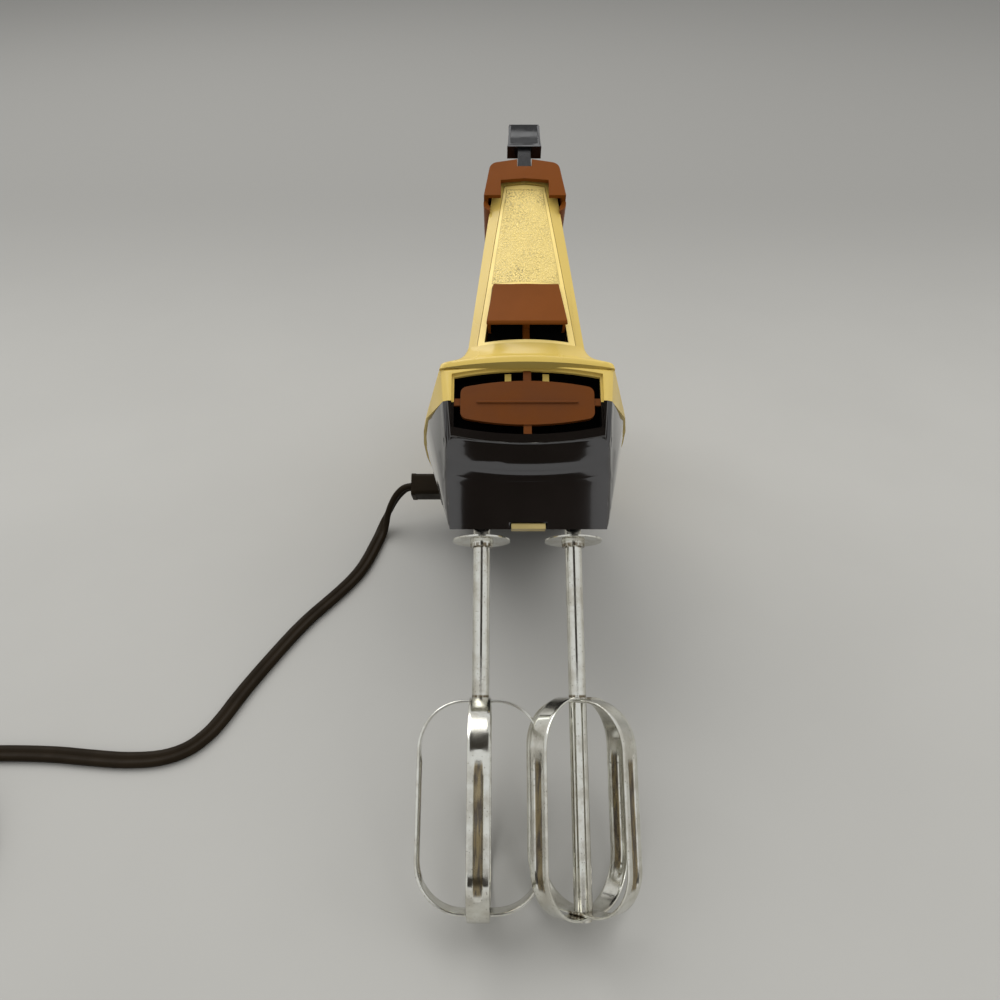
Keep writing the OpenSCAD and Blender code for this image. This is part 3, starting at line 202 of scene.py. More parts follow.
def skin(name, part, edge, finish=None, reshape=None, inside=None):
    """A finer copy of a CAD node: its triangles merged, its edges rounded and its faces shaded smooth.

    edge is the rounding in millimetres. reshape changes the copy in the upright mixer's millimetres,
    and may mark faces that get a second finish, inside.
    """
    bm = bmesh.new()
    bm.from_mesh(NODES[part].data)
    bmesh.ops.remove_doubles(bm, verts=bm.verts, dist=SAME)
    bmesh.ops.dissolve_degenerate(bm, edges=bm.edges, dist=SAME)
    bmesh.ops.dissolve_limit(bm, verts=bm.verts, edges=bm.edges, angle_limit=FLAT,
                             use_dissolve_boundaries=False)
    if reshape:
        stand_up(bm)
        reshape(bm)
        lay_down(bm)
    smooth(bm, SHARP)
    piece = new_piece(name, bm, NODES[part]["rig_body"], SLOTS[part], finish, [part])
    if inside:
        piece.data.materials.append(FINISHES[inside])
    bevel = piece.modifiers.new("Rounded edges", "BEVEL")
    bevel.width = edge * MM
    bevel.segments = 3
    bevel.limit_method = "ANGLE"
    bevel.angle_limit = SHARP
    bevel.use_clamp_overlap = True
    bevel.harden_normals = True
    bevel.miter_outer = "MITER_ARC"
    return piece


# ---- Shader nodes

FLOAT, COLOUR, VECTOR = "NodeSocketFloat", "NodeSocketColor", "NodeSocketVector"


def feed(tree, place, value):
    """Joins a socket to an input, or sets the input to a number, a vector or a colour."""
    if isinstance(value, bpy.types.NodeSocket):
        tree.links.new(value, place)
    elif place.type == "RGBA" and len(value) == 3:
        place.default_value = (*value, 1)
    else:
        place.default_value = value


def node(tree, kind, **values):
    """A node with its properties set; a key of in_Name or in_0 feeds that input."""
    made = tree.nodes.new("ShaderNode" + kind)
    for key, value in values.items():
        if key.startswith("in_"):
            place = key[3:]
            feed(tree, made.inputs[int(place) if place.isdigit() else place], value)
        else:
            setattr(made, key, value)
    return made


def maths(tree, operation, *values):
    """The result of a Math node on sockets and numbers."""
    made = node(tree, "Math", operation=operation)
    for place, value in zip(made.inputs, values):
        feed(tree, place, value)
    return made.outputs[0]


def times(tree, first, *others):
    """The product of sockets and numbers."""
    for other in others:
        first = maths(tree, "MULTIPLY", first, other)
    return first


def ramp(tree, value, low, high):
    """0 at low and 1 at high, smooth between and level past them."""
    return node(tree, "MapRange", interpolation_type="SMOOTHSTEP", clamp=True,
                in_0=value, in_1=low, in_2=high).outputs[0]


def band(tree, value, low, high, soft=0.2):
    """1 between low and high and 0 outside them, with soft edges."""
    return times(tree, ramp(tree, value, low - soft, low + soft),
                 ramp(tree, value, high + soft, high - soft))


def mixed(tree, factor, a, b):
    """Colour a where the factor is 0 and b where it is 1."""
    return node(tree, "Mix", data_type="RGBA", in_0=factor, in_6=a, in_7=b).outputs[2]


def axes(tree, vector):
    """The x, y and z of a vector."""
    return node(tree, "SeparateXYZ", in_0=vector).outputs


def object_place(tree):
    """Object coordinates, which are the scene's own, in metres."""
    return tree.nodes.new("ShaderNodeTexCoord").outputs["Object"]


def mixer_place(tree):
    """Object coordinates turned to the upright mixer, in millimetres."""
    return node(tree, "Mapping", in_Vector=object_place(tree), in_Scale=(1 / MM, 1 / MM, 1 / MM),
                in_Rotation=(TILT, 0, 0), in_Location=-(UPRIGHT.transposed() @ ORIGIN) / MM).outputs[0]


def shade(colour, amount):
    """A colour made darker or paler."""
    return tuple(min(1, max(0, part * amount)) for part in colour)


def new_material(title, **values):
    """A material with a Principled BSDF whose sockets are set from values."""
    material = bpy.data.materials.new(title)
    material.use_nodes = True
    shader = material.node_tree.nodes["Principled BSDF"]
    for key, value in values.items():
        feed(material.node_tree, shader.inputs[key.replace("_", " ")], value)
    return material, material.node_tree, shader


def finish_surface(tree, shader, colour, roughness, height, depth):
    """Joins a colour, a roughness and a relief of that depth, in millimetres, to a shader."""
    feed(tree, shader.inputs["Base Color"], colour)
    feed(tree, shader.inputs["Roughness"], roughness)
    bump = node(tree, "Bump", in_Strength=1.0, in_Distance=depth * MM, in_Height=height)
    feed(tree, shader.inputs["Normal"], bump.outputs[0])


# ---- Shader groups

GROUPS = {}


def group_tree(name, inputs, outputs):
    """A node group with named inputs (kind, default) and outputs (kind)."""
    tree = bpy.data.node_groups.new(name, "ShaderNodeTree")
    for key, (kind, default) in inputs.items():
        made = tree.interface.new_socket(name=key, in_out="INPUT", socket_type=kind)
        if default is not None:
            made.default_value = default
    for key, kind in outputs.items():
        tree.interface.new_socket(name=key, in_out="OUTPUT", socket_type=kind)
    return tree, tree.nodes.new("NodeGroupInput").outputs, tree.nodes.new("NodeGroupOutput").inputs


def use(tree, name, **values):
    """Places a shader group and feeds its inputs."""
    made = tree.nodes.new("ShaderNodeGroup")
    made.node_tree = GROUPS[name]
    for key, value in values.items():
        feed(tree, made.inputs[key.replace("_", " ")], value)
    return made.outputs


def uneven_group():
    """Moulded or plated surface: slow patches of tone, fine ripple and uneven gloss."""
    tree, inputs, outputs = group_tree("Uneven surface", {
        "Vector": (VECTOR, None), "Base": (COLOUR, (0.5, 0.5, 0.5, 1)), "Patch": (COLOUR, (0.4, 0.4, 0.4, 1)),
        "Patch Size": (FLOAT, 12.0), "Ripple Size": (FLOAT, 1.5),
        "Gloss": (FLOAT, 0.2), "Dull": (FLOAT, 0.4)},
        {"Color": COLOUR, "Roughness": FLOAT, "Height": FLOAT})
    slow = node(tree, "TexNoise", in_Vector=inputs["Vector"], in_Detail=4.0, in_Roughness=0.55,
                in_Scale=maths(tree, "DIVIDE", 1.0, inputs["Patch Size"]))
    fine = node(tree, "TexNoise", in_Vector=inputs["Vector"], in_Detail=2.0, in_Roughness=0.5,
                in_Scale=maths(tree, "DIVIDE", 1.0, inputs["Ripple Size"]))
    patch = ramp(tree, slow.outputs[0], 0.35, 0.7)
    gloss = node(tree, "Mix", data_type="FLOAT", in_0=patch, in_2=inputs["Gloss"], in_3=inputs["Dull"])
    feed(tree, outputs["Color"], mixed(tree, patch, inputs["Base"], inputs["Patch"]))
    feed(tree, outputs["Roughness"], gloss.outputs[0])
    feed(tree, outputs["Height"], fine.outputs[0])
    return tree


def specks_group():
    """Small round spots scattered over a surface, of which a share is kept."""
    tree, inputs, outputs = group_tree("Specks", {
        "Vector": (VECTOR, None), "Spacing": (FLOAT, 2.0), "Spot": (FLOAT, 0.2), "Share": (FLOAT, 0.5)},
        {"Mask": FLOAT})
    cells = node(tree, "TexVoronoi", feature="F1", in_Vector=inputs["Vector"],
                 in_Scale=maths(tree, "DIVIDE", 1.0, inputs["Spacing"]))
    near = ramp(tree, maths(tree, "DIVIDE", cells.outputs["Distance"], inputs["Spot"]), 1.0, 0.6)
    chance = node(tree, "SeparateColor", in_0=cells.outputs["Color"]).outputs[0]
    kept = maths(tree, "LESS_THAN", chance, inputs["Share"])
    feed(tree, outputs["Mask"], times(tree, near, kept))
    return tree


def pebble_group():
    """Moulded leather-like pebble grain."""
    tree, inputs, outputs = group_tree("Pebble grain", {
        "Vector": (VECTOR, None), "Pebble": (FLOAT, 0.8)}, {"Height": FLOAT, "Pits": FLOAT})
    warp = node(tree, "TexNoise", in_Vector=inputs["Vector"], in_Scale=0.9, in_Detail=2.0)
    shifted = node(tree, "VectorMath", operation="ADD", in_0=inputs["Vector"],
                   in_1=warp.outputs["Color"])
    cells = node(tree, "TexVoronoi", feature="SMOOTH_F1", in_Vector=shifted.outputs[0],
                 in_Smoothness=0.35, in_Scale=maths(tree, "DIVIDE", 1.0, inputs["Pebble"]))
    feed(tree, outputs["Height"], maths(tree, "SUBTRACT", 1.0, cells.outputs["Distance"]))
    feed(tree, outputs["Pits"], ramp(tree, cells.outputs["Distance"], 0.45, 0.8))
    return tree


# ---- Finishes

FINISHES = {}

# The panel's grained field in the upright mixer: its foot and head, its half width at the foot and how
# fast that narrows, and the heights between which dirt gathers towards the head and towards the foot
FIELD_FOOT, FIELD_HEAD, FIELD_HALF, FIELD_TAPER = 106.8, 155.2, 14.313, 0.1302
DIRT_TO_HEAD, DIRT_TO_FOOT = (134, 152), (122, 108)
# Rings of dirt round a stem at its disc, its loops and its rivet: height and reach, and how far from the
# stem's axis they begin and end
DIRT_RINGS = ((-3.0, 1.2), (-60.0, 1.1), (-131.6, 0.9))
RING_EDGE = (6.0, 4.3)


def plain_finish(title, colour, gloss, dull, patch, patch_size, ripple, depth, **values):
    """A moulded, cast or plated finish: uneven tone and gloss with a fine ripple."""
    material, tree, shader = new_material(title, **values)
    out = use(tree, "Uneven surface", Vector=mixer_place(tree), Base=colour, Patch=shade(colour, patch),
              Patch_Size=patch_size, Ripple_Size=ripple, Gloss=gloss, Dull=dull)
    finish_surface(tree, shader, out["Color"], out["Roughness"], out["Height"], depth)
    return material


def grained_finish(colour):
    """Gold plastic with pebble grain in the panel's field, painted shade in the grain's low spots, dirt in
    its pits and a dark line along its edge.
    """
    material, tree, shader = new_material("Grained panel")
    place = mixer_place(tree)
    base = use(tree, "Uneven surface", Vector=place, Base=colour, Patch=shade(colour, 0.93), Patch_Size=9.0,
               Ripple_Size=0.7, Gloss=0.34, Dull=0.46)
    across, _, up = axes(tree, place)
    # how far inside the field's slanted edge, in millimetres
    narrowed = times(tree, maths(tree, "SUBTRACT", up, FIELD_FOOT), FIELD_TAPER)
    half = maths(tree, "SUBTRACT", FIELD_HALF, narrowed)
    within = maths(tree, "SUBTRACT", half, maths(tree, "ABSOLUTE", across))
    field = times(tree, ramp(tree, within, 0.0, 0.35), band(tree, up, FIELD_FOOT, FIELD_HEAD))
    grain = use(tree, "Pebble grain", Vector=place, Pebble=0.62)
    cloud = node(tree, "TexNoise", in_Vector=place, in_Scale=0.16, in_Detail=3.0)
    ends = maths(tree, "MAXIMUM", ramp(tree, up, *DIRT_TO_HEAD), ramp(tree, up, *DIRT_TO_FOOT))
    dirty = times(tree, ramp(tree, cloud.outputs[0], 0.35, 0.65),
                  maths(tree, "ADD", times(tree, ends, 0.6), 0.35))
    # Painted shade: the grain's low spots are darkened, standing in for the shading of its relief
    grain_shade = times(tree, ramp(tree, grain["Height"], 0.75, 0.45), field)
    grain_shaded = mixed(tree, grain_shade, base["Color"], shade(colour, 0.8))
    marked = mixed(tree, times(tree, grain["Pits"], field, dirty), grain_shaded, shade(colour, 0.34))
    # A dark line along the field's edge
    off_edge = maths(tree, "ABSOLUTE", maths(tree, "SUBTRACT", within, 0.05))
    edge = times(tree, ramp(tree, off_edge, 0.22, 0.05), band(tree, up, FIELD_FOOT - 0.15, FIELD_HEAD + 0.2))
    lined = mixed(tree, times(tree, edge, 0.5), marked, shade(colour, 0.4))
    finish_surface(tree, shader, lined, base["Roughness"], times(tree, grain["Height"], field), 0.3)
    return material


def dark_finish(colour):
    """Near-black glossy plastic with a little dust."""
    material, tree, shader = new_material("Dark glossy plastic", Specular_IOR_Level=0.6, Coat_Weight=0.9,
                                          Coat_Roughness=0.06)
    place = mixer_place(tree)
    base = use(tree, "Uneven surface", Vector=place, Base=colour, Patch=shade(colour, 1.35), Patch_Size=30.0,
               Ripple_Size=1.2, Gloss=0.1, Dull=0.16)
    dust = use(tree, "Specks", Vector=place, Spacing=6.0, Spot=0.022, Share=0.4)
    dusty = mixed(tree, dust["Mask"], base["Color"], (0.5, 0.46, 0.4))
    finish_surface(tree, shader, dusty, base["Roughness"], base["Height"], 0.003)
    return material


def chrome_finish():
    """Plated wire and strip: bright, with fine pits, a yellowish bloom and brown dirt in the channels."""
    material, tree, shader = new_material("Chrome plate", Metallic=1.0)
    place = mixer_place(tree)
    base = use(tree, "Uneven surface", Vector=place, Base=(0.76, 0.76, 0.70), Patch=(0.58, 0.56, 0.49),
               Patch_Size=7.0, Ripple_Size=0.6, Gloss=0.10, Dull=0.24)
    pits = use(tree, "Specks", Vector=place, Spacing=0.8, Spot=0.24, Share=0.3)
    pitted = mixed(tree, times(tree, pits["Mask"], 0.8), base["Color"], (0.10, 0.08, 0.05))
    # streaks along the strips, and stain in their channels
    long = node(tree, "Mapping", in_Vector=place, in_Scale=(1, 1, 0.12)).outputs[0]
    streaks = node(tree, "TexNoise", in_Vector=long, in_Scale=0.9, in_Detail=4.0).outputs[0]
    stain = mixed(tree, ramp(tree, streaks, 0.38, 0.62), (0.045, 0.025, 0.012), (0.26, 0.19, 0.075))
    channel = node(tree, "Attribute", attribute_name="channel").outputs["Fac"]
    dirt = times(tree, ramp(tree, channel, 0.35, 0.9), 0.85)
    stained = mixed(tree, dirt, pitted, stain)
    # rings of dirt, only near a stem's axis
    x, y, z = axes(tree, place)
    rings = 0.0
    for height, reach in DIRT_RINGS:
        off = maths(tree, "ABSOLUTE", maths(tree, "SUBTRACT", z, height))
        rings = maths(tree, "MAXIMUM", rings, ramp(tree, off, reach, reach * 0.35))
    beside = maths(tree, "SUBTRACT", maths(tree, "ABSOLUTE", x), STEM_X)
    out = maths(tree, "SQRT", maths(tree, "ADD", times(tree, beside, beside), times(tree, y, y)))
    rings = times(tree, rings, ramp(tree, out, *RING_EDGE), ramp(tree, streaks, 0.3, 0.55), 0.9)
    ringed = mixed(tree, rings, stained, (0.12, 0.08, 0.03))
    rough = maths(tree, "ADD", base["Roughness"], times(tree, dirt, 0.12))
    finish_surface(tree, shader, ringed, rough, base["Height"], 0.006)
    return material


def paper_finish(colour):
    """Pale paper, a little uneven, with painted shade that darkens it towards its back."""
    material, tree, shader = new_material("Paper", Roughness=0.9)
    place = object_place(tree)
    noise = node(tree, "TexNoise", in_Vector=place, in_Scale=9.0, in_Detail=6.0)
    even = mixed(tree, ramp(tree, noise.outputs[0], 0.3, 0.75), colour, shade(colour, 0.965))
    # Painted shade: the paper is darkened towards its back, where less light falls
    far = ramp(tree, axes(tree, place)[1], 0.05, 0.6)
    feed(tree, shader.inputs["Base Color"], mixed(tree, far, even, shade(colour, 0.64)))
    return material


def make_finishes(colours):
    """Every finish, by the name of its slot or its own."""
    return {
        "gold_enamel": plain_finish("Gold plastic", colours.gold, 0.2, 0.3, 0.955, 26.0, 0.7, 0.0035,
            Specular_IOR_Level=0.5),
        "gold_grained": grained_finish(colours.panel),
        "dark_gloss": dark_finish(colours.dark),
        "brown_gloss": plain_finish("Brown plastic", colours.brown, 0.3, 0.4, 0.88, 22.0, 0.5, 0.004,
            Specular_IOR_Level=0.06),
        # The grip's brown made darker for the badge: painted shade, for a face that takes less light
        "badge_brown_shaded": plain_finish("Badge brown painted shade", shade(colours.brown, 0.74), 0.3, 0.4, 0.86, 16.0, 0.5,
            0.004, Specular_IOR_Level=0.2),
        "knob_black": plain_finish("Polished black", (0.005, 0.005, 0.0055), 0.1, 0.2, 1.4, 5.0, 0.4, 0.003,
            Specular_IOR_Level=0.45),
        # Black painted as shade, for openings, hollows and ribs that the light does not reach
        "painted_shade_black": plain_finish("Painted shade black", (0.0012, 0.0011, 0.001), 0.9, 1.0, 0.9, 8.0, 0.5, 0.01,
            Specular_IOR_Level=0.05),
        "black_plastic": plain_finish("Black plastic", (0.006, 0.006, 0.0065), 0.2, 0.34, 1.4, 8.0, 0.4,
            0.004),
        "steel": plain_finish("Steel", (0.42, 0.42, 0.43), 0.3, 0.5, 0.8, 6.0, 0.3, 0.004, Metallic=1.0),
        "yellow_zinc": plain_finish("Yellow-plated frame", (0.60, 0.47, 0.19), 0.3, 0.5, 0.8, 9.0, 0.6, 0.02,
            Metallic=0.6),
        "chrome": chrome_finish(),
        "bronze": plain_finish("Bronze", (0.42, 0.25, 0.10), 0.3, 0.45, 0.75, 6.0, 0.3, 0.006, Metallic=1.0),
        "copper": plain_finish("Enamelled copper", (0.50, 0.17, 0.06), 0.3, 0.5, 0.7, 3.0, 0.35, 0.08,
            Metallic=0.8),
        "nylon": plain_finish("Nylon", (0.70, 0.68, 0.58), 0.35, 0.5, 0.9, 8.0, 0.5, 0.006),
        "cord_olive": plain_finish("Cord vinyl", colours.cord, 0.42, 0.55, 0.8, 11.0, 0.4, 0.01,
            Specular_IOR_Level=0.07),
    }


class MIXER_OT_finishes(bpy.types.Operator):
    """Gives every piece the finish of its slot"""
    bl_idname = "mixer.finishes"
    bl_label = "Finishes"

    def execute(self, context):
        GROUPS.update({"Uneven surface": uneven_group(), "Specks": specks_group(),
                       "Pebble grain": pebble_group()})
        FINISHES.update(make_finishes(context.scene.mixer_colours))
        for part, slot in SLOTS.items():
            for place in NODES[part].material_slots:
                place.material = FINISHES[slot]
        return {"FINISHED"}


# ---- Stage

PAPER_SIZE = 6.0
PAPER_GAP = 0.0002  # below the mixer
# Soft square lamps: name, place, side, power in watts, and whether gloss shows them
LAMPS = (("Window", (-0.75, 0.75, 1.6), 1.6, 21, True), ("Room", (1.1, 0.2, 1.6), 1.8, 13, False))
# The dark card: its height and middle, and the near and far edge and half widths of each of its two sheets
CARD_Z, CARD_X = 0.64, 0.012
CARD = ((-0.03, -0.45, 0.145, 0.165), (-0.85, -1.6, 0.3, 0.52))
SKY_LOW, SKY_HIGH = (0.60, 0.59, 0.57), (0.74, 0.745, 0.75)


class MIXER_OT_stage(bpy.types.Operator):
    """Sets the camera, the pale paper and the soft lamps"""
    bl_idname = "mixer.stage"
    bl_label = "Stage"

    def execute(self, context):
        add_camera(context)
        bm = bmesh.new()
        bmesh.ops.create_grid(bm, x_segments=1, y_segments=1, size=PAPER_SIZE)
        paper = linked("Paper", bm, paper_finish(context.scene.mixer_colours.floor))
        paper.location = (0, 0, cad_box[0][2] - PAPER_GAP)
        for lamp in LAMPS:
            add_lamp(context, *lamp)
        add_card()
        add_world(context)
        context.scene.view_settings.view_transform = "Standard"
        return {"FINISHED"}


def add_camera(context):
    """The camera, as the settings place it."""
    sizes = context.scene.mixer_sizes
    lens = bpy.data.cameras.new("Camera")
    lens.lens = sizes.lens
    lens.sensor_width = 36
    lens.clip_start = 0.01
    camera = bpy.data.objects.new("Camera", lens)
    camera.location = sizes.camera_place
    camera.rotation_euler = (sizes.camera_pitch, 0, 0)
    context.scene.collection.objects.link(camera)
    context.scene.camera = camera


def add_lamp(context, name, place, side, power, glossy):
    """A square soft lamp that looks at the mixer."""
    light = bpy.data.lights.new(name, "AREA")
    light.shape = "SQUARE"
    light.size = side
    light.energy = power
    lamp = bpy.data.objects.new(name, light)
    lamp.location = place
    lamp.rotation_euler = (-Vector(place)).to_track_quat("-Z", "Y").to_euler()
    lamp.visible_glossy = glossy
    context.scene.collection.objects.link(lamp)


def add_card():
    """A dark card overhead that only gloss and metal reflect, so they show a dark side."""
    bm = bmesh.new()
    for near, far, near_half, far_half in CARD:
        bm.faces.new([bm.verts.new((CARD_X + x, y, CARD_Z)) for x, y in (
            (-near_half, near), (near_half, near), (far_half, far), (-far_half, far))])
    card = linked("Dark_card", bm, new_material("Dark card", Base_Color=(0.09, 0.08, 0.07), Roughness=1.0,
                                                Specular_IOR_Level=0.0)[0])
    card.visible_camera = card.visible_diffuse = card.visible_shadow = False


def add_world(context):
    """Even room light, a little cooler overhead."""
    world = bpy.data.worlds.new("Room light")
    context.scene.world = world
    world.use_nodes = True
    tree = world.node_tree
    up = axes(tree, tree.nodes.new("ShaderNodeTexCoord").outputs["Generated"])[2]
    sky = mixed(tree, ramp(tree, up, -0.05, 0.75), SKY_LOW, SKY_HIGH)
    feed(tree, tree.nodes["Background"].inputs["Color"], sky)


# ---- Cord

# Where the flat cord runs on the table before its coil: x, y, height and roll
LYING = 1.8  # height of its middle on the table
CORD_ROUTE = [
    (-58.8, 51.2, 27.2, 57), (-63, 50.8, 26.2, 57), (-67, 50, 22.4, 55), (-70.3, 48.8, 17.4, 50),
    (-73, 47.2, 12, 45), (-75, 45.2, 7.4, 32), (-76.5, 42.4, 4.2, 18), (-77.8, 38, 2.3, 6),
    *((x, y, LYING, 0) for x, y in (
        (-79.4, 32), (-81.6, 23), (-84.5, 14), (-88.4, 6), (-93.5, -2), (-99.2, -10), (-105, -18),
        (-110, -26), (-114.4, -34), (-118.5, -42), (-122.5, -50), (-126.3, -58), (-129.8, -66), (-133, -74),
        (-137.2, -82), (-144, -89), (-154, -93), (-168, -94), (-183, -93), (-198, -91.6), (-213, -91),
        (-228, -91), (-242, -91.6), (-254, -92)))]
COIL_AT = (-254, -144.5)
COIL_RADII = (45.5, 38.5, 31.5, 31.5, 38.5, 45.5)  # three turns inwards, then three back out on top
COIL_ENTRY = 52.5
TURN_STEPS = 36
SHIFT_STEPS = 7  # steps of each turn in which the cord moves over
LAYER = 3.6  # from one layer of turns to the next
TAIL_STEPS, TAIL_TURN = 14, math.radians(125)  # in which the cord's end rises off the coil
PLUG_HEIGHT = 13.3
TO_PLUG = ((-286.8, -178), (-283.4, -181.6), (-279, -183), (-274, -183))


def on_coil(radius, turn, height):
    """A point of the coil, that far round from where the cord comes in."""
    a = math.pi / 2 + turn
    return (COIL_AT[0] + radius * math.cos(a), COIL_AT[1] + radius * math.sin(a), height, 0)


def coil_path():
    """The coil's turns, in the table's millimetres."""
    points = []
    for turn, radius in enumerate(COIL_RADII):
        before = COIL_RADII[turn - 1] if turn else COIL_ENTRY
        for step in range(TURN_STEPS):
            r = before + (radius - before) * ease(step / SHIFT_STEPS)
            # the third turn ends on top of the first layer
            climbed = (turn - 2) * TURN_STEPS + step
            lift = ease((climbed - TURN_STEPS + SHIFT_STEPS) / SHIFT_STEPS)
            points.append(on_coil(r, 2 * math.pi * step / TURN_STEPS, LYING + LAYER * lift))
    return points[1:]


def tail_path():
    """From the coil's last turn up into the plug."""
    low = LYING + LAYER
    rise = [on_coil(COIL_RADII[-1], TAIL_TURN * step / TAIL_STEPS,
                    low + (PLUG_HEIGHT - low) * ease(step / TAIL_STEPS)) for step in range(TAIL_STEPS + 1)]
    return rise + [(x, y, PLUG_HEIGHT, 0) for x, y in TO_PLUG]


def catmull(points, parts):
    """A smooth line through the points, with that many parts to each stretch."""
    out = []
    for i in range(len(points) - 1):
        p = [Vector(points[max(0, min(len(points) - 1, i + k))]) for k in (-1, 0, 1, 2)]
        for step in range(parts):
            t = step / parts
            out.append(0.5 * (2 * p[1] + (p[2] - p[0]) * t + (2 * p[0] - 5 * p[1] + 4 * p[2] - p[3]) * t * t
                              + (3 * p[1] - p[0] - 3 * p[2] + p[3]) * t ** 3))
    return out + [Vector(points[-1])]


def twin_section(width, thickness):
    """Outline of a flat twin cord: two round cores with a groove between them."""
    r = thickness / 2
    reach = width / 2 - r
    sweep, points = math.radians(118), 9
    lobe = [(reach + r * math.cos(a), r * math.sin(a))
            for a in (sweep * (2 * k / (points - 1) - 1) for k in range(points))]
    right = [(0.0, -0.62 * r)] + lobe
    return right + [(-x, -y) for x, y in right]


class MIXER_OT_cord(bpy.types.Operator):
    """Lays the flat twin cord from the connector to its coil and plug"""
    bl_idname = "mixer.cord"
    bl_label = "Cord"

    def execute(self, context):
        sizes = context.scene.mixer_sizes
        line = catmull(CORD_ROUTE, 4) + [Vector(p) for p in coil_path() + tail_path()]
        path = [point.to_3d() * MM for point in line]
        section = twin_section(sizes.cord_width, sizes.cord_thickness)
        bm = bmesh.new()
        rings = []
        for i, point in enumerate(line):
            along = (line[min(i + 1, len(line) - 1)] - line[max(i - 1, 0)]).to_3d().normalized()
            if i == 0:
                along = Vector((-1, 0, 0))
            across = Vector((0, 0, 1)).cross(along).normalized()
            over = along.cross(across)
            roll = math.radians(point[3])
            u = across * math.cos(roll) + over * math.sin(roll)
            v = over * math.cos(roll) - across * math.sin(roll)
            rings.append([bm.verts.new(path[i] + u * x + v * y) for x, y in section])
        for a, b in zip(rings, rings[1:]):
            for k in range(len(section)):
                n = (k + 1) % len(section)
                bm.faces.new((a[k], b[k], b[n], a[n]))
        bm.faces.new(rings[0])
        bm.faces.new(list(reversed(rings[-1])))
        bmesh.ops.recalc_face_normals(bm, faces=bm.faces)
        smooth(bm, math.radians(50))
        cord = new_piece("Flat_cord", bm, "housing", SLOTS["cord_run"], replaced=["cord_run", "cord_coil"])
        return {"FINISHED"}


# ---- Lower housing

# Its front: height, where the CAD face stands, and where the moulded face stands
FRONT = [(1.0, -12.6, -12.6), (10.0, -12.87, -12.95), (18.0, -13.12, -13.1), (20.6, -13.2, -13.0),
         (22.3, -12.74, -13.05), (24.4, -13.66, -13.6), (26.6, -14.6, -14.45), (29.0, -14.94, -15.0),
         (33.0, -15.5, -15.35), (35.8, -15.89, -15.4), (36.35, -15.97, -15.6), (36.6, -16.0, -16.0)]
FRONT_TOP = 36.6  # the forehead's upper edge, which keeps its place
FRONT_BACK = -5.0  # the depth that the moulding reaches
FOOT_Z = 1.3  # just above the underside, at the nose
# Where the front is cut for its rounding
DEPTH_CUTS = (-9, -10.5, -11.2, -11.9, -12.6, -13.3, -14, -14.7, -15.4)
HEIGHT_CUTS = (4, 7, 10, 13, 16, 18, 19.4, 20.6, 21.5, 22.3, 23.3, 24.4, 25.5, 26.6, 27.8, 29, 30, 31, 32, 33,
               34, 34.8, 35.4, 35.8, 36.35)
WIDTH_CUTS = (20, 22, 24, 25.5, 27, 28, 29, 30, 31, 32, 33, 34, 4, 8, 12, 16)
PROBES = (1.5, 4.5)  # depths behind the face between which the side's lean is measured
SLACK = 0.4  # round the wall, for what counts as its own
CORNER_R, CORNER_R_MORE = 0.9, 2.6
CROWN = 0.9  # how far the face falls back towards its sides
CHIN_REACH = 1.2  # how far above the underside the chin's rim reaches
BOW_DOWN, BOW_SPAN = 2.0, 3.0  # of the upper edge: down in the middle, and from there up to its ends


def along_table(z, table, column):
    """A column of a table at height z, between its rows."""
    for low, high in zip(table, table[1:]):
        if z <= high[0]:
            t = min(1, max(0, (z - low[0]) / (high[0] - low[0])))
            return low[column] + (high[column] - low[column]) * t
    return table[-1][column]


def near_front(bm, least_y, least_x=0.0):
    """The lower shell's faces before that depth and outside that half width."""
    found = []
    for face in bm.faces:
        middle = face.calc_center_median()
        if middle.y < least_y and middle.z < 38 and abs(middle.x) > least_x:
            found.append(face)
    return found


def cut(bm, faces, place, way):
    """Cuts faces along a plane."""
    verts, edges = {v for f in faces for v in f.verts}, {e for f in faces for e in f.edges}
    bmesh.ops.bisect_plane(bm, geom=[*verts, *edges, *faces], dist=1e-4, plane_co=place, plane_no=way)


def cut_front(bm):
    """Cuts the lower shell's front into a grid fine enough to be rounded."""
    for y in DEPTH_CUTS:
        cut(bm, near_front(bm, 2, 20), (0, y, 0), (0, 1, 0))
    for z in HEIGHT_CUTS:
        cut(bm, near_front(bm, FRONT_BACK), (0, 0, z), (0, 0, 1))
    for x in (*(way * x for x in WIDTH_CUTS for way in (1, -1)), 0):
        cut(bm, near_front(bm, -9), (x, 0, 0), (1, 0, 0))


